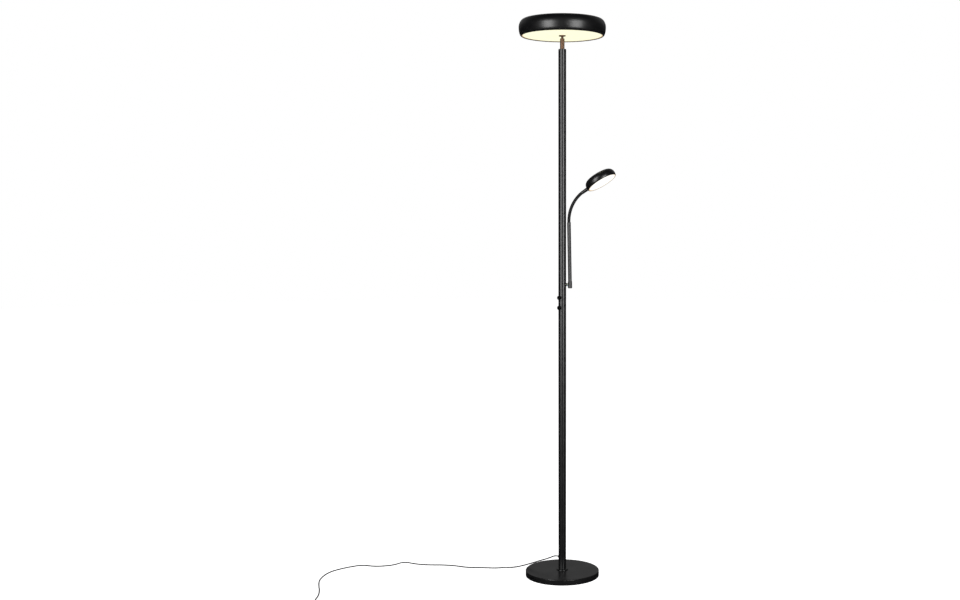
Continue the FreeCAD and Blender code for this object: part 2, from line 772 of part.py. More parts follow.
def knob(height):
    """Turned knob with a hollow back."""
    edge = KNOB_RADIUS - KNOB_EDGE_RADIUS
    bore = SHAFT_RADIUS + PRESS_GAP
    roof = KNOB_BACK + KNOB_RECESS_DEPTH
    body = turned(
        (KNOB_RECESS_RADIUS, KNOB_BACK),
        (KNOB_RADIUS, KNOB_BACK),
        (KNOB_RADIUS, KNOB_FACE - KNOB_EDGE_RADIUS),
        (edge, KNOB_FACE, quarter_circle, edge, KNOB_FACE - KNOB_EDGE_RADIUS),
        (0, KNOB_FACE),
        (0, KNOB_FACE - KNOB_WEB),
        (bore, KNOB_FACE - KNOB_WEB),
        (bore, roof),
        (KNOB_RECESS_RADIUS, roof),
    )
    return radial(body, DIAL_AZIMUTH, height)


def dial_shaft(height):
    """Spindle that turns with its knob."""
    low = POT_FRONT - POT_LENGTH + 2.0
    return radial(rod(SHAFT_RADIUS, low, KNOB_FACE - KNOB_WEB), DIAL_AZIMUTH, height)


# --- reading arm ---


def arm_stub():
    """Stub on the pole, with the pin that the arm's hub turns on."""
    stub = turned(
        (STUB_BORE, STUB_INNER_END),
        (STUB_THREAD_RADIUS, STUB_INNER_END),
        (STUB_THREAD_RADIUS, POLE_BORE),
        (STUB_RADIUS, POLE_BORE),
        (STUB_RADIUS, WASHER_BACK),
        (STUB_PIN_RADIUS, WASHER_BACK),
        (STUB_PIN_RADIUS, HUB_REACH + STUB_PIN_END),
        (STUB_BORE, HUB_REACH + STUB_PIN_END),
    )
    span = STUB_RADIUS * 2
    wall = rod(POLE_RADIUS + 0.02, -span, span).cut(
        radial(rod(STUB_THREAD_RADIUS + 0.01, 0, BASE_RADIUS), 0, 0)
    )
    wall.Placement = FreeCAD.Placement(V(0, 0, 0), FreeCAD.Rotation(Y, -90))
    return radial(stub.cut(wall), ARM_AZIMUTH, ARM_HEIGHT)


def arm_stub_nut():
    """Nut inside the pole on the stub's thread."""
    low = STUB_NUT_FACE - STUB_NUT_HEIGHT
    nut = hexagon(STUB_NUT_ACROSS, low, STUB_NUT_FACE)
    nut = nut.cut(rod(STUB_THREAD_RADIUS + THREAD_GAP, low, STUB_NUT_FACE))
    return radial(nut, ARM_AZIMUTH, ARM_HEIGHT)


def friction_washer():
    """Nylon washer between stub and hub, which holds the arm where it is put."""
    washer = tube(STUB_RADIUS, STUB_PIN_RADIUS + THREAD_GAP, WASHER_BACK, HUB_FACE - 0.1)
    return radial(washer, ARM_AZIMUTH, ARM_HEIGHT)


def arm_hub():
    """Upright hub on the stub's pin, with a spigot for the arm's tube."""
    spigot = ARM_TUBE_BORE - PRESS_GAP
    body = turned(
        (0, -HUB_BELOW),
        (HUB_RADIUS - HUB_CHAMFER, -HUB_BELOW),
        (HUB_RADIUS, -HUB_BELOW + HUB_CHAMFER),
        (HUB_RADIUS, HUB_ABOVE),
        (spigot, HUB_ABOVE),
        (spigot, HUB_ABOVE + HUB_SPIGOT),
        (0, HUB_ABOVE + HUB_SPIGOT),
    )
    body = in_arm(body)
    boss = radial(rod(STUB_RADIUS, HUB_FACE, HUB_REACH), ARM_AZIMUTH, ARM_HEIGHT)
    bore = radial(
        rod(STUB_PIN_RADIUS + RUNNING_GAP, HUB_FACE, HUB_REACH + STUB_PIN_END + FREE_GAP),
        ARM_AZIMUTH,
        ARM_HEIGHT,
    )
    lead_way = in_arm(rod(STUB_BORE, 0, HUB_ABOVE + HUB_SPIGOT))
    return body.fuse(boss).removeSplitter().cut(bore).cut(lead_way)


def arm_tube():
    """The arm's straight steel tube."""
    return in_arm(tube(ARM_TUBE_RADIUS, ARM_TUBE_BORE, HUB_ABOVE, ARM_TUBE_TOP))


def arm_ferrule():
    """Plug in the tube's top that grips the flexible neck."""
    grip = HOSE_RADIUS + PRESS_GAP
    plug = ARM_TUBE_BORE - PRESS_GAP
    top = ARM_TUBE_TOP + FERRULE_RIM
    rim = turned(
        (grip, ARM_TUBE_TOP - FERRULE_LENGTH),
        (plug, ARM_TUBE_TOP - FERRULE_LENGTH),
        (plug, ARM_TUBE_TOP),
        (ARM_TUBE_RADIUS, ARM_TUBE_TOP),
        (grip + 0.3, top, quarter_ellipse, grip + 0.3, ARM_TUBE_TOP),
        (grip, top),
    )
    return in_arm(rim)


# --- flexible neck ---


def hose_run(start, end, ball, socket):
    """A length of the flexible neck from start to end, with a ball at its start or a socket at its end."""
    along = end - start
    length = along.Length
    low = HOSE_GAP if ball else 0.0
    high = length - HOSE_GAP if socket else length
    run = rod(HOSE_RADIUS, low, high)
    if ball:
        run = run.fuse(Part.makeSphere(HOSE_BALL)).removeSplitter()
    if socket:
        run = run.cut(Part.makeSphere(HOSE_BALL + FREE_GAP, V(0, 0, length)))
    run = run.cut(rod(HOSE_BORE, -HOSE_BALL, length))
    return in_arm(placed(run, FreeCAD.Placement(start, FreeCAD.Rotation(Z, along))))


def hose_root():
    """The flexible neck's first length, gripped by the ferrule."""
    foot = V(0, 0, ARM_TUBE_TOP - FERRULE_LENGTH)
    start = V(0, 0, HOSE_START)
    straight = in_arm(rod(HOSE_RADIUS, foot.z, HOSE_START).cut(rod(HOSE_BORE, foot.z, HOSE_START)))
    bent = hose_run(start, hinge_points()[0], False, True)
    knuckle = in_arm(Part.makeSphere(HOSE_RADIUS, start).cut(Part.makeSphere(HOSE_BORE, start)))
    return straight.fuse([bent, knuckle]).removeSplitter()


def hose_link(number):
    """One length of the flexible neck between two hinge points."""
    points = hinge_points()
    return hose_run(points[number], points[number + 1], True, True)


def hose_end():
    """The flexible neck's last length, inside the reading head's sleeve."""
    start = hinge_points()[-1]
    return hose_run(start, start + END_DIRECTION * (HOSE_LAST_RUN + SLEEVE_RUN), True, False)


# --- reading head ---


def along_sleeve(shape):
    """From a frame on the sleeve's axis, head's rim at z 0 and outward +Z, into the lamp."""
    rim = FreeCAD.Placement(V(-READING_RADIUS, 0, 0), FreeCAD.Rotation(Y, 90))
    return in_reading_head(placed(shape, rim))


def reading_sleeve():
    """Tapered sleeve between the flexible neck and the reading head's rim."""
    grip = HOSE_RADIUS + PRESS_GAP
    back = -SLEEVE_RUN - SLEEVE_OVERLAP
    return along_sleeve(
        turned(
            (grip, back),
            (SLEEVE_START_RADIUS, back),
            (SLEEVE_RADIUS, -1.0),
            (SLEEVE_RADIUS, SLEEVE_INSIDE),
            (grip, SLEEVE_INSIDE),
        )
    )


def sleeve_nut():
    """Nut inside the reading head on the sleeve's end."""
    high = SLEEVE_INSIDE - 0.2
    low = high - SLEEVE_NUT_HEIGHT
    nut = hexagon(SLEEVE_NUT_ACROSS, low, high).cut(rod(SLEEVE_RADIUS + THREAD_GAP, low, high))
    return along_sleeve(nut)


def reading_shell():
    """Round aluminium cup, closed on top, with posts for its board."""
    low, high = -READING_UNDER, READING_THICKNESS - READING_UNDER
    mouth = READING_RADIUS - READING_BOTTOM_ROUNDING
    inner_mouth = mouth - 0.2
    brow = READING_RADIUS - READING_TOP_ROUNDING
    skin = READING_RADIUS - READING_WALL
    waist = -1.0
    shell = turned(
        (READING_OPENING, low),
        (mouth, low),
        (READING_RADIUS, waist, quarter_ellipse, mouth, waist),
        (brow, high, quarter_ellipse, brow, waist),
        (0, high),
        (0, high - READING_WALL),
        (brow, high - READING_WALL),
        (skin, waist, quarter_ellipse, brow, waist),
        (inner_mouth, low + READING_WALL, quarter_ellipse, inner_mouth, waist),
        (READING_OPENING, low + READING_WALL),
    )
    post = placed(
        rod(READING_POST_RADIUS, READING_BOARD_HEIGHT + BOARD_THICKNESS, high - READING_WALL / 2),
        FreeCAD.Placement(V(READING_POST_CIRCLE, 0, 0), FreeCAD.Rotation()),
    )
    shell = shell.fuse(around(post, READING_POSTS)).removeSplitter()
    entry = rod(SLEEVE_RADIUS + PRESS_GAP, -READING_TOP_ROUNDING, READING_TOP_ROUNDING)
    return in_reading_head(shell).cut(along_sleeve(entry))


def reading_diffuser():
    """Opal disc that closes the reading head, with a collar up to the board."""
    floor = READING_RECESS - READING_UNDER
    lid_top = floor + READING_DIFFUSER_THICKNESS
    collar = READING_BOARD_RADIUS - READING_DIFFUSER_THICKNESS
    body = turned(
        (0, floor),
        (READING_OPENING - FREE_GAP, floor),
        (READING_OPENING - FREE_GAP, lid_top),
        (collar, lid_top),
        (collar, READING_BOARD_HEIGHT),
        (collar - READING_DIFFUSER_THICKNESS, READING_BOARD_HEIGHT),
        (collar - READING_DIFFUSER_THICKNESS, lid_top),
        (0, lid_top),
    )
    return in_reading_head(body)


def reading_board():
    """Round circuit board on the shell's posts."""
    low = READING_BOARD_HEIGHT
    return in_reading_head(rod(READING_BOARD_RADIUS, low, low + BOARD_THICKNESS))


def reading_leds():
    """LED packages under the reading head's board."""
    return in_reading_head(group(led_ring(READING_LEDS, READING_BOARD_HEIGHT - LED_SIZE[2])))


# --- wiring ---


def rounded_path(points):
    """A wire of straight runs joined by tangent arcs, and the arcs' radii."""
    points = [V(*p) for p in points]
    edges, radii = [], []
    start = points[0]
    for before, corner, after in zip(points, points[1:], points[2:]):
        back = before - corner
        ahead = after - corner
        cut = 0.45 * min(back.Length, ahead.Length)
        half = back.getAngle(ahead) / 2
        radius = cut * math.tan(half)
        first = corner + back.normalize() * cut
        last = corner + ahead.normalize() * cut
        middle = corner + (back + ahead).normalize() * (cut / math.cos(half) - radius)
        edges.append(Part.LineSegment(start, first).toShape())
        edges.append(Part.Arc(first, middle, last).toShape())
        radii.append(radius)
        start = last
    edges.append(Part.LineSegment(start, points[-1]).toShape())
    return Part.Wire(edges), radii


def round_cable(name, points, radius):
    """A round cable along a route. Prints its length, its tightest arcs and how its volume compares."""
    path, radii = rounded_path(points)
    heading = V(*points[1]) - V(*points[0])
    section = Part.Wire(Part.Circle(V(*points[0]), heading, radius).toShape())
    cable = path.makePipeShell([section], True, False)
    expected = math.pi * radius**2 * path.Length
    print(name, "length", round(path.Length, 1), "volume ratio", round(cable.Volume / expected, 4))
    print("  arc radii", [round(r) for r in radii])
    return cable


def cord_grommet():
    """Rubber grommet where the cord leaves the pole."""
    flange = POLE_RADIUS + 1.2
    body = turned(
        (CORD_RADIUS + 0.02, POLE_BORE - 1.6),
        (GROMMET_FLANGE, POLE_BORE - 1.6),
        (GROMMET_FLANGE, flange),
        (GROMMET_TIP, CORD_EXIT),
        (CORD_RADIUS + 0.02, CORD_EXIT),
    )
    wall = tube(POLE_RADIUS + 0.02, POLE_BORE - 0.02, -BASE_HEIGHT, BASE_HEIGHT)
    wall.Placement = FreeCAD.Placement(V(0, 0, 0), FreeCAD.Rotation(Y, -90))
    wall = wall.cut(rod(GROMMET_HOLE - PRESS_GAP, 0, BASE_RADIUS))
    return radial(body.cut(wall), CORD_AZIMUTH, CORD_EXIT_HEIGHT)


def pole_wiring():
    """Leads inside the pole: cord to dimmers, dimmer to head, dimmer to arm."""
    east, north = LEAD_LINE
    out = V(math.cos(math.radians(CORD_AZIMUTH)), math.sin(math.radians(CORD_AZIMUTH)), 0)
    through, inside = out * CORD_EXIT, out * CORD_RADIUS
    supply = round_cable(
        "supply lead",
        [
            (through.x, through.y, CORD_EXIT_HEIGHT),
            (inside.x, inside.y, CORD_EXIT_HEIGHT),
            (east, north, CORD_EXIT_HEIGHT + 4 * GROMMET_HOLE),
            (east, north, DIAL_HEIGHTS["lower"] + POT_RADIUS),
        ],
        CORD_RADIUS,
    )
    head = round_cable(
        "head lead",
        [
            (east, north, DIAL_HEIGHTS["upper"] + 2 * POT_RADIUS),
            (east, north, TUBE_TOP - CAP_SHANK - 30.0),
            (0, 0, TUBE_TOP - CAP_SHANK - 8.0),
            (0, 0, BALL_CENTRE - BALL_RADIUS - 2.5),
        ],
        LEAD_RADIUS,
    )
    way = V(math.cos(math.radians(ARM_AZIMUTH)), math.sin(math.radians(ARM_AZIMUTH)), 0)
    back, front = way * -5.5, way * (HUB_REACH - HUB_RADIUS)
    arm = round_cable(
        "arm lead",
        [
            (back.x, back.y, DIAL_HEIGHTS["upper"] + 2 * POT_RADIUS),
            (back.x, back.y, ARM_HEIGHT),
            (front.x, front.y, ARM_HEIGHT),
        ],
        ARM_LEAD_RADIUS,
    )
    return group([supply, head, arm])


# --- free cord and adapter ---


def cord_lead():
    """The cord from the grommet to the coil."""
    return round_cable("cord lead", CORD_ROUTE, CORD_RADIUS)


def cord_coil():
    """The outer shape of the coiled rest of the cord."""
    inner = COIL_RADIUS - COIL_WIDTH / 2
    coil = tube(COIL_RADIUS + COIL_WIDTH / 2, inner, 0.2, COIL_HEIGHT)
    coil = coil.makeFillet(COIL_ROUNDING, [e for e in coil.Edges if e.Curve.TypeId == "Part::GeomCircle"])
    return placed(coil, FreeCAD.Placement(V(*COIL_CENTRE, 0), FreeCAD.Rotation()))


def cord_tail():
    """The cord from the coil to the adapter."""
    return round_cable("cord tail", TAIL_ROUTE, CORD_RADIUS)


def cord_tie():
    """Band round the coil's turns."""
    wide, tall = COIL_WIDTH / 2 + TIE_THICKNESS, COIL_HEIGHT + TIE_THICKNESS
    outer = Part.makeBox(2 * wide, TIE_WIDTH, tall, V(COIL_RADIUS - wide, -TIE_WIDTH / 2, 0))
    level = [e for e in outer.Edges if abs(e.tangentAt(e.FirstParameter).y) > 0.9]
    outer = outer.makeFillet(COIL_ROUNDING, level)
    place = FreeCAD.Placement(V(*COIL_CENTRE, 0), FreeCAD.Rotation(Z, TIE_AZIMUTH))
    return placed(outer, place).cut(cord_coil())


def adapter_half(low, high, edge):
    """One half of the adapter's case, rounded at its outer face."""
    box = Part.makeBox(
        ADAPTER_LENGTH, ADAPTER_WIDTH, high - low, V(ADAPTER_FACE, ADAPTER_Y - ADAPTER_WIDTH / 2, low)
    )
    rounded = []
    for e in box.Edges:
        upright = abs(e.tangentAt(e.FirstParameter).z) > 0.9
        if upright or abs(e.BoundBox.Center.z - edge) < 0.01:
            rounded.append(e)
    return box.makeFillet(ADAPTER_ROUNDING, rounded)


def adapter_bores(half):
    """Cuts the relief's and the pins' seats into a half of the case."""
    middle = ADAPTER_THICKNESS / 2
    half = half.cut(
        Part.makeCylinder(RELIEF_ROOT + PRESS_GAP, 4.0, V(ADAPTER_FACE, ADAPTER_Y, middle), X)
    )
    for side in (-0.5, 0.5):
        seat = V(ADAPTER_FACE + ADAPTER_LENGTH - 8.0, ADAPTER_Y + side * PLUG_PIN_SPACING, middle)
        half = half.cut(Part.makeCylinder(PLUG_PIN_RADIUS + PRESS_GAP, 8.0, seat, X))
    return half


def adapter_case_lower():
    """Lower half of the adapter's case."""
    return adapter_bores(adapter_half(0.0, ADAPTER_THICKNESS / 2 - ADAPTER_SEAM / 2, 0.0))


def adapter_case_upper():
    """Upper half of the adapter's case."""
    low = ADAPTER_THICKNESS / 2 - ADAPTER_SEAM / 2
    return adapter_bores(adapter_half(low, ADAPTER_THICKNESS, ADAPTER_THICKNESS))


def adapter_pins():
    """Two round mains pins."""
    pins = []
    start = ADAPTER_FACE + ADAPTER_LENGTH - 8.0
    for side in (-0.5, 0.5):
        at = V(start, ADAPTER_Y + side * PLUG_PIN_SPACING, ADAPTER_THICKNESS / 2)
        pin = Part.makeCylinder(PLUG_PIN_RADIUS, PLUG_PIN_LENGTH + 8.0, at, X)
        tip = [e for e in pin.Edges if e.BoundBox.XLength < 0.01 and e.BoundBox.Center.x > start + 1]
        pins.append(pin.makeFillet(PLUG_PIN_RADIUS * 0.7, tip))
    return group(pins)


def adapter_relief():
    """Tapered strain relief where the cord enters the adapter."""
    relief = turned(
        (0, -4.0),
        (RELIEF_ROOT, -4.0),
        (RELIEF_ROOT, 2.0),
        (RELIEF_TIP, RELIEF_LENGTH),
        (0, RELIEF_LENGTH),
    )
    at = V(ADAPTER_FACE, ADAPTER_Y, ADAPTER_THICKNESS / 2)
    return placed(relief, FreeCAD.Placement(at, FreeCAD.Rotation(Y, -90)))


def nodes():
    """Every node's name and shape."""
    made = {
        "base_cover": base_cover(),
        "base_weight": base_weight(),
        "foot_pad": foot_pad(),
        "base_stud": base_stud(),
        "base_nut": base_nut(),
        "foot_collar": foot_collar(),
        "pole_foot_insert": pole_foot_insert(),
        "pole_couplers": pole_couplers(),
        "pole_top_cap": pole_top_cap(),
        "neck_housing": neck_housing(),
        "neck_spring": neck_spring(),
        "neck_seat": neck_seat(),
        "ball_stem": ball_stem(),
        "head_shell": head_shell(),
        "bottom_diffuser": bottom_diffuser(),
        "top_diffuser": top_diffuser(),
        "led_plate": led_plate(),
        "led_boards": led_boards(),
        "head_leds": head_leds(),
        "hub_spacer": hub_spacer(),
        "hub_nut": hub_nut(),
        "head_screws": head_screws(),
        "dimmer_pots": dimmer_pots(),
        "dimmer_nuts": dimmer_nuts(),
        "arm_stub": arm_stub(),
        "arm_stub_nut": arm_stub_nut(),
        "friction_washer": friction_washer(),
        "arm_hub": arm_hub(),
        "arm_tube": arm_tube(),
        "arm_ferrule": arm_ferrule(),
        "hose_root": hose_root(),
        "hose_end": hose_end(),
        "reading_sleeve": reading_sleeve(),
        "sleeve_nut": sleeve_nut(),
        "reading_shell": reading_shell(),
        "reading_diffuser": reading_diffuser(),
        "reading_board": reading_board(),
        "reading_leds": reading_leds(),
        "cord_grommet": cord_grommet(),
        "pole_wiring": pole_wiring(),
        "cord_lead": cord_lead(),
        "cord_coil": cord_coil(),
        "cord_tail": cord_tail(),
        "cord_tie": cord_tie(),
        "adapter_case_lower": adapter_case_lower(),
        "adapter_case_upper": adapter_case_upper(),
        "adapter_pins": adapter_pins(),
        "adapter_relief": adapter_relief(),
    }
    for number in range(len(POLE_JOINTS) + 1):
        made[f"pole_section_{number + 1}"] = pole_section(number)
    for name, height in DIAL_HEIGHTS.items():
        made[f"knob_{name}"] = knob(height)
        made[f"dial_shaft_{name}"] = dial_shaft(height)
    for number in range(HOSE_HINGES - 1):
        made[f"hose_link_{number + 1}"] = hose_link(number)
    return made


def print_joints():
    """Prints where the joints are, in the lamp's frame."""
    turn = ARM_FRAME.Rotation
    points = hinge_points()
    side = turn.multVec(Y)
    print("arm plane's normal", [round(c, 6) for c in side])
    for number, point in enumerate(points):
        degrees = math.radians(HOSE_TURN * (number + 0.5) / HOSE_HINGES)
        across = turn.multVec(V(math.cos(degrees), 0, -math.sin(degrees)))
        where = ARM_FRAME.multVec(point)
        print("hose hinge", number + 1, [round(c, 3) for c in where], [round(c, 6) for c in across])
    print("reading head's middle", [round(c, 3) for c in READING_FRAME.Base])


os.makedirs("parts", exist_ok=True)
for name, shape in nodes().items():
    if not shape.isValid() or not shape.Solids:
        raise RuntimeError(f"{name} isn't a valid solid")
    shape.exportStep(f"parts/{name}.step")
print_joints()
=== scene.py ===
"""Torchiere floor lamp with a reading arm: what is added to its CAD frame, and its stage."""

import json
import math

import bmesh
import bpy
from mathutils import Matrix, Vector


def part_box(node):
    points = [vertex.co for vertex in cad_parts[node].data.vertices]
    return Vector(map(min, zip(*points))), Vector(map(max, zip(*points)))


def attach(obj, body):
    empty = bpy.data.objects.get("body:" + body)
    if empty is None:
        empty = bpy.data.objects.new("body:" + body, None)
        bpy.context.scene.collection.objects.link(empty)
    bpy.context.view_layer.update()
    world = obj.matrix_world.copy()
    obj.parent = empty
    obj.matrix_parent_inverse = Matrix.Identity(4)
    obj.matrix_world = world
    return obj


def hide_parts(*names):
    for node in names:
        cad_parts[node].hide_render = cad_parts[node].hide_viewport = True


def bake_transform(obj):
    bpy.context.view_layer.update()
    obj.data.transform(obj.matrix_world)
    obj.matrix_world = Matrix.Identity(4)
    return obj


bl_info = {
    "name": "Torchiere Floor Lamp",
    "version": (1, 0, 0),
    "blender": (4, 5, 0),
    "location": "View3D > Sidebar > Floor Lamp",
    "description": "Finishes, flexible neck, dials and cord of a torchiere floor lamp",
    "category": "Object",
}

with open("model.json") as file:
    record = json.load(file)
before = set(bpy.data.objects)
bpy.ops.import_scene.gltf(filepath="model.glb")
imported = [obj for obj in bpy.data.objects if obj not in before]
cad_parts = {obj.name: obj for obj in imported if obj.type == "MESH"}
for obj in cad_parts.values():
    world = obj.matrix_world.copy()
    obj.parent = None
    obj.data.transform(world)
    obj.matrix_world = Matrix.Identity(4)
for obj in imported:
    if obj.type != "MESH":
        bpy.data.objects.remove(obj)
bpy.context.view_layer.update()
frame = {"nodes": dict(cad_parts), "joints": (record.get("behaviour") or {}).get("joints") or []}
NODES = frame["nodes"]
JOINTS = {joint["name"]: joint for joint in frame["joints"]}
MM = 0.001

# --- camera, in metres and degrees; the lamp's pole is the Z axis ---
CAMERA_PLACE = (0.0, -3.872, 1.1584)
CAMERA_TILT = 86.256
CAMERA_LENS = 44.98
CAMERA_SENSOR = 36
CAMERA_SHIFT = -0.0857

# --- cord, in millimetres: from the grommet along the floor to the coil ---
CORD_ROUTE = (
    (-13.34, 7.7, 61.0),
    (-25.4, 14.7, 61.0),
    (-41.0, 17.5, 52.5),
    (-70.5, 18.0, 44.0),
    (-106.5, 24.5, 31.0),
    (-137.5, 53.0, 14.5),
    (-166.0, 79.0, 2.2),
    (-190.0, 80.5, 2.2),
    (-223.0, 70.5, 2.2),
    (-268.0, 77.5, 2.2),
    (-318.0, 78.0, 2.2),
    (-359.0, 99.0, 2.2),
    (-404.0, 108.5, 2.2),
    (-450.0, 108.0, 2.2),
    (-494.0, 118.0, 2.2),
    (-527.0, 139.5, 2.2),
    (-549.0, 135.0, 2.2),
    (-563.0, 113.0, 2.2),
    (-590.0, 97.0, 2.2),
    (-632.0, 90.5, 2.2),
    (-674.0, 107.5, 2.2),
    (-707.0, 89.0, 2.2),
    (-738.0, 64.0, 2.2),
    (-767.0, 30.0, 2.2),
    (-781.0, -15.0, 2.2),
    (-785.0, -66.0, 2.2),
    (-776.0, -118.0, 2.2),
    (-763.0, -170.0, 2.2),
    (-755.0, -222.0, 2.2),
    (-757.0, -268.0, 2.2),
    (-754.5, -312.0, 2.2),
    (-755.2, -350.0, 2.2),
)
# Short tail from the coil's top turn to the adapter's strain relief.
TAIL_ROUTE = (
    (-719.0, -386.3, 10.8),
    (-707.0, -387.4, 12.2),
    (-693.0, -390.0, 14.0),
    (-679.0, -390.0, 14.0),
)
COIL_CENTRE = (-730.0, -362.0)
COIL_TURNS = 5.25
COIL_POINTS = 24  # for each turn
# Where each turn lies in the bundle: -1 inside or +1 outside, and its layer from the floor.
TURN_PLACES = ((1, 0), (-1, 0), (-1, 1), (1, 1), (-1, 2), (1, 2))
# Degrees after the coil's start where each turn crosses to the next place.
TURN_CROSSINGS = ((310, 356), (264, 310), (218, 262), (155, 215), (100, 150))
DIAGONAL_TURN = 3  # its crossing passes between two others, which bow out of its way
LAYER_SETTLING = 0.98  # a layer's rise as a share of the turns' pitch
BOW_SIDEWAYS = 0.85  # how far turns bow out of the diagonal turn's way, in places
BOW_UPWARDS = 0.4

# --- strap round the coil, in millimetres and degrees ---
TIE_AZIMUTH = 62.0
TIE_THICKNESS = 0.7
TIE_SLACK = 0.75  # past the turns, on each side
TIE_CORNER = 2.6
TIE_STEPS = 72

# --- ribbed strain relief at the adapter, in millimetres and shares of its length ---
RELIEF_RIBS = 8
RELIEF_GROOVE = 0.5
RELIEF_OVER_CORD = 0.35
RELIEF_GROOVE_FLOOR = 0.3  # how far a groove may go under the thin end
RELIEF_TAPER_END = 0.8
RELIEF_RIBBED = (0.04, 0.78)
RELIEF_STEPS = 90
RELIEF_AROUND = 32

# --- points of the neck's wire and of a dial ---
WIRE_AROUND = 28
WIRE_STEPS = 8  # for each turn
KNURL_POINTS = 4  # for each groove

# --- light of the diffusers: strength, and the share of the radius where it starts to dim ---
HEAD_LIGHT, HEAD_RIM = 0.9, 0.955
READING_LIGHT, READING_RIM = 1.0, 0.87

# --- stage, in metres, degrees and watts ---
FLOOR_RADIUS = 14
FLOOR_DROP = 0.0004  # under the foot pad
SOFT_BOX_AZIMUTH = 36  # each side of the viewer
SOFT_BOX_DISTANCE = 3.1
SOFT_BOX_HEIGHT = 1.5
SOFT_BOX_AIM = 1.2
SOFT_BOX_SIZE = (1.45, 2.3)
SOFT_BOX_POWER = 76


def linear(colour):
    """Linear RGB of an sRGB hex colour."""
    parts = [int(colour[k : k + 2], 16) / 255 for k in (1, 3, 5)]
    return tuple(c / 12.92 if c <= 0.04045 else ((c + 0.055) / 1.055) ** 2.4 for c in parts)


def rgba(colour):
    """A colour property's value with full alpha."""
    return (*colour, 1.0)


# --- sizes and colours that a user would change ---


def millimetres(name, description, default):
    """A length property whose default is given in millimetres."""
    return bpy.props.FloatProperty(
        name=name, description=description, default=default * MM, unit="LENGTH", precision=5
    )


def colour_of(name, description, default):
    """A colour property whose default is given as an sRGB hex value."""
    return bpy.props.FloatVectorProperty(
        name=name, description=description, default=linear(default), subtype="COLOR", min=0, max=1
    )


class LampSizes(bpy.types.PropertyGroup):
    """Sizes of the pieces that are made here."""

    cord_diameter: millimetres("Cord diameter", "Round two-core lead", 4.0)
    cord_length: bpy.props.FloatProperty(
        name="Cord length",
        description="From the grommet to the adapter",
        default=2.0,
        unit="LENGTH",
    )
    coil_radius: millimetres("Coil radius", "At the middle of the coiled turns", 22.7)
    turn_pitch: millimetres("Turn pitch", "Between the middles of two turns side by side", 4.2)
    tie_width: millimetres("Tie width", "Width of the strap round the coil", 7.0)
    hose_pitch: millimetres("Coil pitch of the neck", "Between two turns of the neck's wire", 2.4)
    hose_groove: millimetres("Groove depth", "Depth of the groove between the neck's turns", 0.55)
    knurl_depth: millimetres("Knurl depth", "Depth of the grooves round a dial", 0.3)
    knurl_count: bpy.props.IntProperty(
        name="Knurls", description="Grooves round a dial", default=30, min=8, max=90
    )
    paint_grain: millimetres("Paint grain", "Orange peel of the powder coat", 1.1)


class LampColours(bpy.types.PropertyGroup):
    """Colours of the finishes."""

    paint: colour_of("Powder coat", "Satin black of the pole, base and heads", "#0b0b0c")
    # The neck's colour holds a painted warm glow: its bronze tint stands for the head's light
    # falling on dark metal.
    neck: colour_of("Neck metal", "Black nickel plate under the head", "#604a3b")
    conduit: colour_of("Neck wire", "Blackened steel wire of the flexible neck", "#111112")
    knob: colour_of("Dial", "Black anodised aluminium", "#141415")
    glow: colour_of("Light", "Lit opal plastic", "#fffedb")
    reading_glow: colour_of("Reading light", "Lit opal plastic of the reading head", "#fffffa")
    glow_edge: colour_of("Light's edge", "Lit opal plastic where it meets its rim", "#d3a973")
    jacket: colour_of("Cord jacket", "Black soft PVC", "#0d0d0e")
    case: colour_of("Adapter", "Black moulded ABS", "#18181a")
    floor: colour_of("Floor", "Pale studio floor", "#f6f6f6")


# --- nodes ---


def add_node(tree, kind, settings=None, values=None, links=None):
    """Adds a node, with its settings, its inputs' values and the links into it."""
    node = tree.nodes.new(kind)
    for name, value in (settings or {}).items():
        setattr(node, name, value)
    for name, value in (values or {}).items():
        node.inputs[name].default_value = value
    for name, source in (links or {}).items():
        tree.links.new(source, node.inputs[name])
    return node


def new_material(name, **values):
    """A material with one Principled shader; underlines in a value's name stand for spaces."""
    material = bpy.data.materials.new(name)
    material.use_nodes = True
    shader = material.node_tree.nodes["Principled BSDF"]
    for key, value in values.items():
        shader.inputs[key.replace("_", " ")].default_value = value
    material.diffuse_color = shader.inputs["Base Color"].default_value
    return material, material.node_tree, shader


def grain(tree, shader, size, depth, detail=2.0):
    """Bumps size metres apart and depth metres high; gives back the surface's coordinates."""
    place = add_node(tree, "ShaderNodeTexCoord")
    noise = add_node(
        tree, "ShaderNodeTexNoise",
        values={"Scale": 1 / size, "Detail": detail, "Roughness": 0.5},
        links={"Vector": place.outputs["Object"]},
    )
    bump = add_node(
        tree, "ShaderNodeBump",
        values={"Strength": 1.0, "Distance": depth},
        links={"Height": noise.outputs["Fac"]},
    )
    tree.links.new(bump.outputs["Normal"], shader.inputs["Normal"])
    return place


def mottle(tree, place, size, low, high, socket):
    """A slow variation between two values or colours over patches of a size in metres."""
    noise = add_node(
        tree, "ShaderNodeTexNoise",
        values={"Scale": 1 / size, "Detail": 3.0, "Roughness": 0.6},
        links={"Vector": place.outputs["Object"]},
    )
    ramp = add_node(tree, "ShaderNodeValToRGB", links={"Fac": noise.outputs["Fac"]})
    ramp.color_ramp.elements[0].position = 0.3
    ramp.color_ramp.elements[1].position = 0.7
    ramp.color_ramp.elements[0].color = low
    ramp.color_ramp.elements[1].color = high
    tree.links.new(ramp.outputs["Color"], socket)


def grey(value):
    """A grey with full alpha."""
    return (value, value, value, 1.0)


def shade(colour, factor):
    """A colour made lighter or darker, with full alpha."""
    return (*(min(1.0, c * factor) for c in colour), 1.0)


# --- materials ---


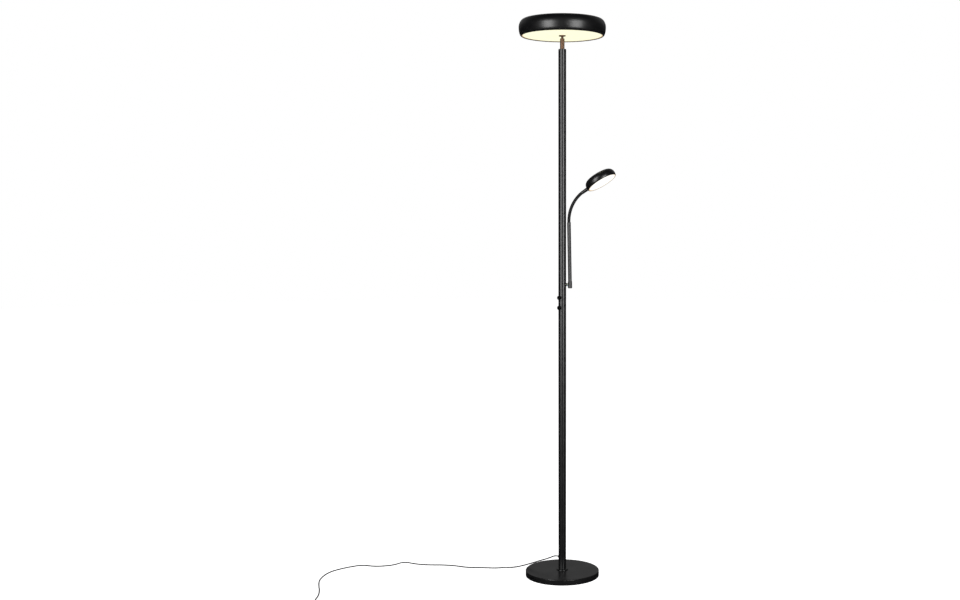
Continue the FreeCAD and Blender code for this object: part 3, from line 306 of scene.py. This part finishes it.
def powder_coated_steel():
    """Satin black powder coat, baked on steel: a soft sheen with faint orange peel."""
    scene = bpy.context.scene
    colour = scene.lamp_colours.paint
    size = scene.lamp_sizes.paint_grain
    material, tree, shader = new_material(
        "powder_coated_steel", Base_Color=rgba(colour), Roughness=0.31, IOR=1.52
    )
    place = grain(tree, shader, size, 0.0015 * MM)
    # Handling and the oven leave patches a few centimetres wide that are a little duller.
    mottle(
        tree, place, 38 * MM, shade(colour, 0.9), shade(colour, 1.15), shader.inputs["Base Color"]
    )
    mottle(tree, place, 55 * MM, grey(0.28), grey(0.34), shader.inputs["Roughness"])
    return material


def nickel_with_painted_glow():
    """Black nickel on turned steel: dark metal with a bronze tint that is painted warm glow from
    the head above, which also lights it softly.
    """
    colour = bpy.context.scene.lamp_colours.neck
    material, tree, shader = new_material(
        "nickel_with_painted_glow", Base_Color=rgba(colour), Metallic=0.9, Roughness=0.42
    )
    place = grain(tree, shader, 0.6 * MM, 0.004 * MM)
    mottle(tree, place, 5 * MM, grey(0.36), grey(0.46), shader.inputs["Roughness"])
    return material


def blackened_spring_steel():
    """Oil-blackened steel wire, wound: dark metal with a dull shine on each turn's crown."""
    colour = bpy.context.scene.lamp_colours.conduit
    material, tree, shader = new_material(
        "blackened_spring_steel", Base_Color=rgba(colour), Metallic=0.55, Roughness=0.4
    )
    place = grain(tree, shader, 0.6 * MM, 0.01 * MM)
    mottle(
        tree, place, 6 * MM, shade(colour, 0.8), shade(colour, 1.5), shader.inputs["Base Color"]
    )
    return material


def black_anodised_aluminium():
    """Turned and black anodised aluminium: tool rings on the face, crisp bright edges."""
    colour = bpy.context.scene.lamp_colours.knob
    material, tree, shader = new_material(
        "black_anodised_aluminium", Base_Color=rgba(colour), Metallic=0.8, Roughness=0.34
    )
    place = grain(tree, shader, 0.5 * MM, 0.006 * MM)
    mottle(tree, place, 4 * MM, grey(0.3), grey(0.42), shader.inputs["Roughness"])
    return material


def brushed_aluminium():
    """Bare rolled aluminium sheet: pale metal with fine roughness variation."""
    material, tree, shader = new_material(
        "brushed_aluminium", Base_Color=rgba(linear("#c9cacb")), Metallic=1.0, Roughness=0.42
    )
    place = grain(tree, shader, 0.8 * MM, 0.01 * MM)
    mottle(tree, place, 20 * MM, grey(0.36), grey(0.5), shader.inputs["Roughness"])
    return material


def cast_iron():
    """Sand-cast iron: dark grey with a coarse, pitted skin."""
    material, tree, shader = new_material(
        "cast_iron", Base_Color=rgba(linear("#3b3a39")), Metallic=0.6, Roughness=0.75
    )
    place = grain(tree, shader, 2.2 * MM, 0.25 * MM, detail=6.0)
    low, high = rgba(linear("#2c2a29")), rgba(linear("#4d4a47"))
    mottle(tree, place, 15 * MM, low, high, shader.inputs["Base Color"])
    return material


def zinc_plated_steel():
    """Zinc-plated steel fasteners: pale bluish metal with clouded patches."""
    material, tree, shader = new_material(
        "zinc_plated_steel", Base_Color=rgba(linear("#b4b8ba")), Metallic=1.0, Roughness=0.32
    )
    place = grain(tree, shader, 0.7 * MM, 0.008 * MM)
    mottle(tree, place, 3 * MM, grey(0.25), grey(0.4), shader.inputs["Roughness"])
    return material


def nickel_plate():
    """Bright nickel on brass pins: warm mirror-like metal."""
    material, tree, shader = new_material(
        "nickel_plate", Base_Color=rgba(linear("#cfc9bd")), Metallic=1.0, Roughness=0.16
    )
    place = grain(tree, shader, 0.6 * MM, 0.003 * MM)
    mottle(tree, place, 5 * MM, grey(0.12), grey(0.24), shader.inputs["Roughness"])
    return material


def circuit_board():
    """White solder-masked board, as under LEDs: satin with a hint of the copper's relief."""
    material, tree, shader = new_material(
        "circuit_board", Base_Color=rgba(linear("#e9ebe6")), Roughness=0.4, IOR=1.55
    )
    place = grain(tree, shader, 1.5 * MM, 0.02 * MM)
    low, high = rgba(linear("#e2e5df")), rgba(linear("#f0f1ed"))
    mottle(tree, place, 9 * MM, low, high, shader.inputs["Base Color"])
    return material


def phosphor_led():
    """Yellow phosphor under clear silicone, as moulded on an LED: glossy and saturated."""
    material, tree, shader = new_material(
        "phosphor_led", Base_Color=rgba(linear("#e8c53a")), Roughness=0.2, IOR=1.41
    )
    shader.inputs["Emission Color"].default_value = rgba(linear("#fff1cf"))
    shader.inputs["Emission Strength"].default_value = 1.5
    place = grain(tree, shader, 0.5 * MM, 0.01 * MM)
    low, high = rgba(linear("#dcb62c")), rgba(linear("#f0d35a"))
    mottle(tree, place, 1.5 * MM, low, high, shader.inputs["Base Color"])
    return material


def natural_nylon():
    """Moulded natural nylon: milky, soft highlights, slightly see-through."""
    material, tree, shader = new_material(
        "natural_nylon", Base_Color=rgba(linear("#dcd8c8")), Roughness=0.45, IOR=1.53
    )
    shader.inputs["Subsurface Weight"].default_value = 0.25
    shader.inputs["Subsurface Scale"].default_value = 1.0 * MM
    place = grain(tree, shader, 0.9 * MM, 0.01 * MM)
    low, high = rgba(linear("#d3cfbd")), rgba(linear("#e4e1d3"))
    mottle(tree, place, 6 * MM, low, high, shader.inputs["Base Color"])
    return material


def wool_felt():
    """Pressed dark felt under the base: matte with a fuzzy nap."""
    material, tree, shader = new_material(
        "wool_felt", Base_Color=rgba(linear("#232325")), Roughness=0.95, IOR=1.4
    )
    shader.inputs["Sheen Weight"].default_value = 0.3
    shader.inputs["Sheen Roughness"].default_value = 0.5
    place = grain(tree, shader, 0.8 * MM, 0.2 * MM, detail=6.0)
    low, high = rgba(linear("#1a1a1c")), rgba(linear("#313134"))
    mottle(tree, place, 2.5 * MM, low, high, shader.inputs["Base Color"])
    return material


def soft_pvc():
    """Extruded soft PVC cord jacket: matte black with faint die lines and scuffs."""
    colour = bpy.context.scene.lamp_colours.jacket
    material, tree, shader = new_material(
        "soft_pvc", Base_Color=rgba(colour), Roughness=0.5, IOR=1.53
    )
    place = grain(tree, shader, 0.9 * MM, 0.015 * MM)
    mottle(
        tree, place, 12 * MM, shade(colour, 0.8), shade(colour, 1.5), shader.inputs["Base Color"]
    )
    mottle(tree, place, 30 * MM, grey(0.44), grey(0.6), shader.inputs["Roughness"])
    return material


def black_rubber():
    """Moulded rubber grommet and strain relief: very matte, a little dusty."""
    material, tree, shader = new_material(
        "black_rubber", Base_Color=rgba(linear("#17171a")), Roughness=0.68, IOR=1.52
    )
    place = grain(tree, shader, 0.7 * MM, 0.02 * MM)
    low, high = rgba(linear("#121214")), rgba(linear("#232326"))
    mottle(tree, place, 7 * MM, low, high, shader.inputs["Base Color"])
    return material


def woven_tie():
    """Woven hook-and-loop strap: crossed nylon threads, fuzzy and matte."""
    material, tree, shader = new_material(
        "woven_tie", Base_Color=rgba(linear("#1d1d20")), Roughness=0.85, IOR=1.5
    )
    shader.inputs["Sheen Weight"].default_value = 0.35
    shader.inputs["Sheen Roughness"].default_value = 0.4
    place = add_node(tree, "ShaderNodeTexCoord")
    # Threads of 0.6 mm, drawn 0.9 mm apart so that they show.
    threads = add_node(
        tree, "ShaderNodeTexVoronoi",
        values={"Scale": 1 / (0.9 * MM), "Randomness": 0.15},
        links={"Vector": place.outputs["Object"]},
    )
    bump = add_node(
        tree, "ShaderNodeBump",
        settings={"invert": True},
        values={"Distance": 0.15 * MM},
        links={"Height": threads.outputs["Distance"]},
    )
    tree.links.new(bump.outputs["Normal"], shader.inputs["Normal"])
    low, high = rgba(linear("#151517")), rgba(linear("#2b2b2f"))
    mottle(tree, place, 2 * MM, low, high, shader.inputs["Base Color"])
    return material


def moulded_abs():
    """Spark-textured ABS of the adapter's case: fine matte grain that hides scratches."""
    colour = bpy.context.scene.lamp_colours.case
    material, tree, shader = new_material(
        "moulded_abs", Base_Color=rgba(colour), Roughness=0.55, IOR=1.54
    )
    place = grain(tree, shader, 0.6 * MM, 0.03 * MM, detail=4.0)
    mottle(
        tree, place, 10 * MM, shade(colour, 0.85), shade(colour, 1.3), shader.inputs["Base Color"]
    )
    return material


def lit_opal_acrylic(name, centre, radius, strength, glow, rim):
    """Opal acrylic lit from behind: warm white that dims to straw from rim, a share of radius."""
    colours = bpy.context.scene.lamp_colours
    material, tree, shader = new_material(
        name, Base_Color=rgba(linear("#6f6d64")), Roughness=0.32, IOR=1.49
    )
    shader.inputs["Emission Strength"].default_value = strength
    place = grain(tree, shader, 1.4 * MM, 0.01 * MM)
    offset = add_node(
        tree, "ShaderNodeVectorMath",
        settings={"operation": "DISTANCE"},
        values={1: tuple(centre)},
        links={0: place.outputs["Object"]},
    )
    share = add_node(
        tree, "ShaderNodeMath",
        settings={"operation": "DIVIDE"},
        values={1: radius},
        links={0: offset.outputs["Value"]},
    )
    ramp = add_node(tree, "ShaderNodeValToRGB", links={"Fac": share.outputs["Value"]})
    ramp.color_ramp.interpolation = "EASE"
    ramp.color_ramp.elements[0].position = rim
    ramp.color_ramp.elements[0].color = rgba(glow)
    ramp.color_ramp.elements[1].position = 1.0
    ramp.color_ramp.elements[1].color = rgba(colours.glow_edge)
    tree.links.new(ramp.outputs["Color"], shader.inputs["Emission Color"])
    return material


def studio_paper():
    """Seamless white studio paper: bright, perfectly matte, a trace of fibre."""
    colour = bpy.context.scene.lamp_colours.floor
    material, tree, shader = new_material(
        "studio_paper", Base_Color=rgba(colour), Roughness=0.9, IOR=1.4
    )
    shader.inputs["Emission Color"].default_value = rgba(linear("#ffffff"))
    shader.inputs["Emission Strength"].default_value = 0.98
    grain(tree, shader, 3 * MM, 0.02 * MM)
    return material


FINISHES = {
    "black_paint": powder_coated_steel,
    # The neck's finish, with a painted warm glow from the head in its colour.
    "dark_nickel": nickel_with_painted_glow,
    "black_conduit": blackened_spring_steel,
    "knob_metal": black_anodised_aluminium,
    "cast_iron": cast_iron,
    "zinc_steel": zinc_plated_steel,
    "bare_aluminium": brushed_aluminium,
    "circuit_board": circuit_board,
    "led_package": phosphor_led,
    "nylon": natural_nylon,
    "felt": wool_felt,
    "cord_jacket": soft_pvc,
    "rubber": black_rubber,
    "tie_band": woven_tie,
    "adapter_plastic": moulded_abs,
    "nickel_pins": nickel_plate,
}
made = {}


def finish(slot):
    """The material of one of the record's slots, made once."""
    if slot not in made:
        made[slot] = FINISHES[slot]()
    return made[slot]


# --- mesh helpers ---


def skin(name, rings, looped=False):
    """A closed tube of rings that all have the same number of points, or a loop of them."""
    shell = bmesh.new()
    rows = [[shell.verts.new(point) for point in ring] for ring in rings]
    count = len(rows[0])
    onward = rows[1:] + rows[:1] if looped else rows[1:]
    for low, high in zip(rows, onward):
        for k in range(count):
            shell.faces.new((low[k], low[(k + 1) % count], high[(k + 1) % count], high[k]))
    if not looped:
        shell.faces.new(reversed(rows[0]))
        shell.faces.new(rows[-1])
    bmesh.ops.recalc_face_normals(shell, faces=shell.faces)
    mesh = bpy.data.meshes.new(name)
    shell.to_mesh(mesh)
    shell.free()
    mesh.polygons.foreach_set("use_smooth", [True] * len(mesh.polygons))
    piece = bpy.data.objects.new(name, mesh)
    bpy.context.scene.collection.objects.link(piece)
    return piece


def circle(radius, height, count, ripple=None):
    """Points round the Z axis; ripple gives what to take off the radius at an angle."""
    points = []
    for k in range(count):
        angle = 2 * math.pi * k / count
        reach = radius - (ripple(angle) if ripple else 0.0)
        points.append(Vector((reach * math.cos(angle), reach * math.sin(angle), height)))
    return points


def pose_along(axis, origin):
    """A placement with local Z along axis."""
    return Matrix.Translation(origin) @ Vector(axis).to_track_quat("Z", "Y").to_matrix().to_4x4()


def dress(piece, slot, body, *replaced, sharp=40.0):
    """Gives a new piece its finish, its body and the CAD nodes that it stands for."""
    piece.data.materials.append(finish(slot))
    if piece.type == "MESH":
        piece.data.set_sharp_from_angle(angle=math.radians(sharp))
    if body:
        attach(piece, body)
    if replaced:
        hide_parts(*replaced)
    return piece


def span(node, origin, axis):
    """How far a CAD node reaches from origin along axis: nearest and furthest."""
    places = [(vertex.co - Vector(origin)).dot(axis) for vertex in NODES[node].data.vertices]
    return min(places), max(places)


def girth(node, origin, axis):
    """A CAD node's largest distance from a line through origin along axis."""
    offsets = [vertex.co - Vector(origin) for vertex in NODES[node].data.vertices]
    return max((offset - axis * offset.dot(axis)).length for offset in offsets)


# --- camera ---


class LAMP_OT_camera(bpy.types.Operator):
    """Adds the camera."""

    bl_idname = "lamp.camera"
    bl_label = "Camera"

    def execute(self, context):
        lens = bpy.data.cameras.new("camera")
        lens.lens = CAMERA_LENS
        lens.sensor_width = CAMERA_SENSOR
        lens.shift_x = CAMERA_SHIFT
        camera = bpy.data.objects.new("camera", lens)
        camera.location = CAMERA_PLACE
        camera.rotation_euler = (math.radians(CAMERA_TILT), 0, 0)
        context.scene.collection.objects.link(camera)
        context.scene.camera = camera
        return {"FINISHED"}


# --- cord ---


def ease(share):
    """0 to 1 with a soft start and end."""
    share = min(1.0, max(0.0, share))
    return share * share * (3 - 2 * share)


def turn_place(turn, degrees):
    """A turn's side and layer in the bundle, some degrees after the coil's start."""
    side, layer = TURN_PLACES[turn]
    if turn < len(TURN_CROSSINGS):
        start, end = TURN_CROSSINGS[turn]
        share = ease((degrees - start) / (end - start))
        next_side, next_layer = TURN_PLACES[turn + 1]
        side += (next_side - side) * share
        layer += (next_layer - layer) * share
    start, end = TURN_CROSSINGS[DIAGONAL_TURN]
    if start < degrees < end and turn in (DIAGONAL_TURN - 1, DIAGONAL_TURN + 1):
        bow = math.sin(math.pi * (degrees - start) / (end - start)) ** 2
        outward = 1 if turn > DIAGONAL_TURN else -1
        side += BOW_SIDEWAYS * outward * bow
        layer += BOW_UPWARDS * bow if outward > 0 else 0
    return side, layer


def coil_points(sizes):
    """The cord's middle line round the coil, from the -X side to the -Y side, in metres."""
    points = []
    lowest = CORD_ROUTE[-1][2] * MM
    for k in range(int(COIL_TURNS * COIL_POINTS) + 1):
        turn, step = divmod(k, COIL_POINTS)
        side, layer = turn_place(turn, 360 * step / COIL_POINTS)
        radius = sizes.coil_radius + side * sizes.turn_pitch / 2
        angle = math.pi + 2 * math.pi * step / COIL_POINTS
        points.append(
            Vector((
                COIL_CENTRE[0] * MM + radius * math.cos(angle),
                COIL_CENTRE[1] * MM + radius * math.sin(angle),
                lowest + layer * sizes.turn_pitch * LAYER_SETTLING,
            ))
        )
    return points


class LAMP_OT_cord(bpy.types.Operator):
    """Adds the cord: lead, coil and tail in one line, with its tie and its strain relief."""

    bl_idname = "lamp.cord"
    bl_label = "Cord"

    def execute(self, context):
        sizes = context.scene.lamp_sizes
        points = [Vector(point) * MM for point in CORD_ROUTE]
        points += coil_points(sizes)
        points += [Vector(point) * MM for point in TAIL_ROUTE]
        curve = bpy.data.curves.new("cord", "CURVE")
        curve.dimensions = "3D"
        curve.resolution_u = 6
        curve.bevel_depth = sizes.cord_diameter / 2
        curve.bevel_resolution = 5
        curve.use_fill_caps = True
        line = curve.splines.new("NURBS")
        line.points.add(len(points) - 1)
        for control, point in zip(line.points, points):
            control.co = (*point, 1.0)
        line.order_u = 3
        line.use_endpoint_u = True
        cord = bpy.data.objects.new("cord", curve)
        context.scene.collection.objects.link(cord)
        dress(cord, "cord_jacket", "stand", "cord_lead", "cord_coil", "cord_tail")

        tie = self.tie(sizes)
        relief = self.relief(sizes)
        return {"FINISHED"}

    def tie(self, sizes):
        """A strap round the bundle of turns."""
        low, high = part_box("cord_tie")
        azimuth = math.radians(TIE_AZIMUTH)
        outward = Vector((math.cos(azimuth), math.sin(azimuth), 0))
        along = Vector((-outward.y, outward.x, 0))
        middle = Vector((*COIL_CENTRE, 0)) * MM + outward * sizes.coil_radius
        half_height = (high.z - low.z) / 2
        centre = middle + Vector((0, 0, low.z + half_height))
        half_width = sizes.turn_pitch + TIE_SLACK * MM
        thickness = TIE_THICKNESS * MM
        corner = TIE_CORNER * MM
        across = half_width - corner
        up = half_height - corner
        rings = []
        for k in range(TIE_STEPS):
            angle = 2 * math.pi * k / TIE_STEPS
            ring = []
            for inset, shift in ((0, -1), (0, 1), (thickness, 1), (thickness, -1)):
                x = math.copysign(across, math.cos(angle)) + (corner - inset) * math.cos(angle)
                z = math.copysign(up, math.sin(angle)) + (corner - inset) * math.sin(angle)
                lift = outward * x + Vector((0, 0, z)) + along * shift * sizes.tie_width / 2
                ring.append(centre + lift)
            rings.append(ring)
        tie = skin("coil_tie", rings, looped=True)
        return dress(tie, "tie_band", "stand", "cord_tie")

    def relief(self, sizes):
        """A ribbed taper where the cord enters the adapter."""
        low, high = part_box("adapter_relief")
        start = Vector((low.x, (low.y + high.y) / 2, (low.z + high.z) / 2))
        length = high.x - low.x
        thick = (high.z - low.z) / 2
        thin = sizes.cord_diameter / 2 + RELIEF_OVER_CORD * MM
        place = pose_along((1, 0, 0), start)
        rings = []
        ribs_start, ribs_end = RELIEF_RIBBED
        for k in range(RELIEF_STEPS + 1):
            share = k / RELIEF_STEPS
            body = thin + (thick - thin) * min(1.0, share / RELIEF_TAPER_END)
            wave = max(0.0, math.sin(2 * math.pi * RELIEF_RIBS * share))
            groove = RELIEF_GROOVE * MM * wave ** 0.5
            ribbed = ribs_start < share < ribs_end
            radius = body - (groove if ribbed else 0.0)
            reach = max(radius, thin - RELIEF_GROOVE_FLOOR * MM)
            ring = circle(reach, share * length, RELIEF_AROUND)
            rings.append([place @ point for point in ring])
        return dress(skin("cord_relief", rings), "rubber", "stand", "adapter_relief", sharp=50)


# --- flexible neck ---


def circle_through(a, b, c):
    """Centre of the circle through three points."""
    ab, ac = b - a, c - a
    normal = ab.cross(ac)
    to_centre = normal.cross(ab) * ac.length_squared + ac.cross(normal) * ab.length_squared
    return a + to_centre / (2 * normal.length_squared)


class NeckLine:
    """The flexible neck's middle line: straight, one bend through the hinges, straight."""

    def __init__(self):
        names = [name for name in JOINTS if name.startswith("hose_")]
        names.sort(key=lambda name: int(name[-1]))
        self.hinges = [Vector(JOINTS[name]["pos_m"]) for name in names]
        last_hinge = self.hinges[-1]
        steps = len(self.hinges) - 1
        self.centre = circle_through(self.hinges[0], self.hinges[2], last_hinge)
        self.first = (self.hinges[0] - self.centre).normalized()
        self.radius = (self.hinges[0] - self.centre).length
        step = self.first.angle(self.hinges[1] - self.centre)
        self.step = step * self.radius
        self.across = self.first.cross(self.hinges[1] - self.centre).normalized()
        self.onward = self.across.cross(self.first)
        self.bend_start = -self.step / 2
        self.bend_end = self.bend_start + (steps + 1) * self.step
        root_low, _ = span("hose_root", self.hinges[0], self.direction(self.bend_start))
        _, tip_high = span("hose_end", last_hinge, self.direction(self.bend_end))
        self.start = root_low
        self.end = steps * self.step + tip_high

    def direction(self, distance):
        """Direction of travel at a distance along the bend from the first hinge."""
        angle = distance / self.radius
        return self.onward * math.cos(angle) - self.first * math.sin(angle)

    def outward(self, distance):
        """Direction away from the bend's centre at a distance along the bend."""
        angle = distance / self.radius
        return self.first * math.cos(angle) + self.onward * math.sin(angle)

    def at(self, distance):
        """Middle point, outward and sideways directions at a distance from the first hinge."""
        held = min(max(distance, self.bend_start), self.bend_end)
        outward = self.outward(held)
        point = self.centre + outward * self.radius + self.direction(held) * (distance - held)
        return point, outward, self.across


class LAMP_OT_flexible_neck(bpy.types.Operator):
    """Adds the flexible neck's wound wire, one length over each of its hinges."""

    bl_idname = "lamp.flexible_neck"
    bl_label = "Flexible neck"

    def execute(self, context):
        sizes = context.scene.lamp_sizes
        line = NeckLine()
        root_axis = line.direction(line.bend_start)
        radius = girth("hose_root", line.hinges[0], root_axis)
        nodes = [
            "hose_root", "hose_link_1", "hose_link_2", "hose_link_3", "hose_link_4", "hose_end"
        ]
        breaks = [line.start] + [(k + 0.5) * line.step for k in range(4)] + [line.end]
        for number in range(5):
            low, high = breaks[number], breaks[number + 1]
            piece = self.length(line, f"neck_wire_{number + 1}", low, high, radius, sizes)
            stands_for = nodes[:2] if number == 0 else nodes[number + 1 : number + 2]
            dress(piece, "black_conduit", None, *stands_for, sharp=80)
            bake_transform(piece)
        return {"FINISHED"}

    def length(self, line, name, low, high, radius, sizes):
        """One length of round wire wound edge to edge, as a ridged tube."""
        step = sizes.hose_pitch / WIRE_STEPS
        count = max(2, round((high - low) / step))
        rings = []
        for k in range(count + 1):
            distance = low + (high - low) * k / count
            point, outward, across = line.at(distance)
            ring = []
            for m in range(WIRE_AROUND):
                angle = 2 * math.pi * m / WIRE_AROUND
                phase = (distance / sizes.hose_pitch - m / WIRE_AROUND) % 1.0
                crown = math.sqrt(max(0.0, math.sin(math.pi * phase)))
                reach = radius - sizes.hose_groove * (1 - crown)
                ring.append(point + (outward * math.cos(angle) + across * math.sin(angle)) * reach)
            rings.append(ring)
        return skin(name, rings)


# --- dials ---


class LAMP_OT_dials(bpy.types.Operator):
    """Adds the two knurled dials."""

    bl_idname = "lamp.dials"
    bl_label = "Dials"

    def execute(self, context):
        for name in ("upper", "lower"):
            self.dial(name, context.scene.lamp_sizes)
        return {"FINISHED"}

    def dial(self, name, sizes):
        """A hollow-backed dial: knurled edge, turned rim and a dished face."""
        joint = JOINTS[f"{name}_dial_turn"]
        outward = -Vector(joint["axis"])
        origin = Vector(joint["pos_m"])
        node = f"knob_{name}"
        back, face = span(node, origin, outward)
        radius = girth(node, origin, outward)
        place = pose_along(outward, origin)
        teeth = sizes.knurl_count
        edge = 0.7 * MM
        dish = 0.55 * MM
        # (radius, distance along the axis, share of the knurl's depth)
        profile = (
            (radius - 1.0 * MM, back + 2.0 * MM, 0),
            (radius - 1.0 * MM, back, 0),
            (radius - 0.25 * MM, back, 0),
            (radius, back + 0.3 * MM, 0),
            (radius, back + 0.8 * MM, 0),
            (radius, back + 1.0 * MM, 1),
            (radius, face - 1.35 * MM, 1),
            (radius, face - 1.15 * MM, 0),
            (radius, face - edge, 0),
            (radius - 0.3 * edge, face - 0.3 * edge, 0),
            (radius - edge, face, 0),
            (radius - 1.3 * MM, face, 0),
            (radius - 1.6 * MM, face - 0.5 * dish, 0),
            (radius - 2.1 * MM, face - dish, 0),
            (radius - 4.0 * MM, face - 1.1 * dish, 0),
            (0.3 * MM, face - 1.2 * dish, 0),
        )
        count = teeth * KNURL_POINTS
        rings = []
        for reach, height, knurl in profile:
            depth = knurl * sizes.knurl_depth
            ripple = lambda angle, depth=depth: depth * 0.5 * (1 - math.cos(teeth * angle))
            rings.append([place @ point for point in circle(reach, height, count, ripple)])
        dial = skin(f"dial_{name}", rings)
        dress(dial, "knob_metal", f"dial_{name}", node, sharp=25)


# --- finishes of the CAD nodes ---


class LAMP_OT_finishes(bpy.types.Operator):
    """Gives every CAD node that still shows its real finish."""

    bl_idname = "lamp.finishes"
    bl_label = "Finishes"

    def execute(self, context):
        for node in NODES.values():
            for slot in node.material_slots:
                name = slot.material.name.split(".")[0]
                if name in FINISHES:
                    slot.material = finish(name)
        # The couplers' thin flanges show in the pole's joints and are painted with it.
        for slot in NODES["pole_couplers"].material_slots:
            slot.material = finish("black_paint")
        return {"FINISHED"}


class LAMP_OT_diffusers(bpy.types.Operator):
    """Lights the three opal diffusers."""

    bl_idname = "lamp.diffusers"
    bl_label = "Diffusers"

    def execute(self, context):
        colours = context.scene.lamp_colours
        glow = colours.glow
        low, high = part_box("bottom_diffuser")
        centre = Vector((0, 0, low.z))
        edge = (high.x - low.x) / 2
        self.light("bottom_diffuser", "lit_opal_lower", centre, edge, HEAD_LIGHT, glow, HEAD_RIM)
        low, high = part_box("top_diffuser")
        centre = Vector((0, 0, high.z))
        edge = (high.x - low.x) / 2
        self.light("top_diffuser", "lit_opal_upper", centre, edge, HEAD_LIGHT, glow, HEAD_RIM)
        low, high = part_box("reading_diffuser")
        centre = (low + high) / 2
        vertices = NODES["reading_diffuser"].data.vertices
        edge = max((vertex.co - centre).length for vertex in vertices)
        glow = colours.reading_glow
        self.light(
            "reading_diffuser", "lit_opal_reading", centre, edge, READING_LIGHT, glow, READING_RIM
        )
        return {"FINISHED"}

    def light(self, node, name, centre, radius, strength, glow, rim):
        """Gives a diffuser its own lit material."""
        material = lit_opal_acrylic(name, centre, radius, strength, glow, rim)
        for slot in NODES[node].material_slots:
            slot.material = material


# --- stage ---


class LAMP_OT_stage(bpy.types.Operator):
    """Adds the pale floor, two tall soft boxes and an even white surround."""

    bl_idname = "lamp.stage"
    bl_label = "Stage"

    def execute(self, context):
        self.floor()
        self.surround(context.scene)
        azimuth = math.radians(SOFT_BOX_AZIMUTH)
        target = Vector((0, 0, SOFT_BOX_AIM))
        for name, side in (("soft_box_left", -1), ("soft_box_right", 1)):
            place = Vector((side * math.sin(azimuth), -math.cos(azimuth), 0)) * SOFT_BOX_DISTANCE
            self.soft_box(name, place + Vector((0, 0, SOFT_BOX_HEIGHT)), target)
        context.scene.view_settings.view_transform = "Standard"
        return {"FINISHED"}

    def floor(self):
        """White paper under the lamp."""
        bpy.ops.mesh.primitive_circle_add(vertices=96, radius=FLOOR_RADIUS, fill_type="NGON")
        floor = bpy.context.object
        floor.name = "studio_floor"
        floor.location.z = -FLOOR_DROP
        floor.data.materials.append(studio_paper())
        floor.visible_glossy = False

    def surround(self, scene):
        """White to the eye; as light, dark towards the front and brighter behind the lamp."""
        world = bpy.data.worlds.new("white_surround")
        world.use_nodes = True
        tree = world.node_tree
        tree.nodes.clear()
        place = add_node(tree, "ShaderNodeTexCoord")
        axes = add_node(tree, "ShaderNodeSeparateXYZ", links={0: place.outputs["Generated"]})
        behind = add_node(
            tree, "ShaderNodeMapRange",
            values={"From Min": 0.0, "From Max": 0.9, "To Min": 0.0, "To Max": 0.27},
            links={"Value": axes.outputs["Y"]},
        )
        above = add_node(
            tree, "ShaderNodeMapRange",
            values={"From Min": 0.08, "From Max": 0.3, "To Min": 0.04, "To Max": 1.0},
            links={"Value": axes.outputs["Z"]},
        )
        strength = add_node(
            tree, "ShaderNodeMath",
            settings={"operation": "MULTIPLY_ADD"},
            values={2: 0.004},
            links={0: behind.outputs["Result"], 1: above.outputs["Result"]},
        )
        seen = add_node(tree, "ShaderNodeBackground", values={"Color": grey(1.0), "Strength": 1.0})
        lit = add_node(
            tree, "ShaderNodeBackground",
            values={"Color": grey(1.0)},
            links={"Strength": strength.outputs["Value"]},
        )
        ray = add_node(tree, "ShaderNodeLightPath")
        mix = add_node(
            tree, "ShaderNodeMixShader",
            links={0: ray.outputs["Is Camera Ray"], 1: lit.outputs[0], 2: seen.outputs[0]},
        )
        add_node(tree, "ShaderNodeOutputWorld", links={"Surface": mix.outputs[0]})
        scene.world = world

    def soft_box(self, name, place, target):
        """A tall soft light that faces a point."""
        light = bpy.data.lights.new(name, "AREA")
        light.shape = "RECTANGLE"
        light.size, light.size_y = SOFT_BOX_SIZE
        light.energy = SOFT_BOX_POWER
        box = bpy.data.objects.new(name, light)
        box.location = place
        box.rotation_euler = (target - place).to_track_quat("-Z", "Y").to_euler()
        bpy.context.scene.collection.objects.link(box)


class LAMP_PT_panel(bpy.types.Panel):
    """Lists the lamp's pieces, sizes and colours."""

    bl_idname = "LAMP_PT_panel"
    bl_label = "Floor Lamp"
    bl_space_type = "VIEW_3D"
    bl_region_type = "UI"
    bl_category = "Floor Lamp"

    def draw(self, context):
        for group in (context.scene.lamp_sizes, context.scene.lamp_colours):
            box = self.layout.box()
            for name in group.__annotations__:
                box.prop(group, name)
        for operator in OPERATORS:
            self.layout.operator(operator.bl_idname)


OPERATORS = (
    LAMP_OT_camera,
    LAMP_OT_cord,
    LAMP_OT_flexible_neck,
    LAMP_OT_dials,
    LAMP_OT_finishes,
    LAMP_OT_diffusers,
    LAMP_OT_stage,
)
CLASSES = (LampSizes, LampColours, *OPERATORS, LAMP_PT_panel)


def register():
    for cls in CLASSES:
        bpy.utils.register_class(cls)
    bpy.types.Scene.lamp_sizes = bpy.props.PointerProperty(type=LampSizes)
    bpy.types.Scene.lamp_colours = bpy.props.PointerProperty(type=LampColours)


def unregister():
    del bpy.types.Scene.lamp_colours
    del bpy.types.Scene.lamp_sizes
    for cls in reversed(CLASSES):
        bpy.utils.unregister_class(cls)


def main():
    register()
    bpy.ops.lamp.camera()
    bpy.ops.lamp.cord()
    bpy.ops.lamp.flexible_neck()
    bpy.ops.lamp.dials()
    bpy.ops.lamp.finishes()
    bpy.ops.lamp.diffusers()
    bpy.ops.lamp.stage()


if __name__ == "__main__":
    main()
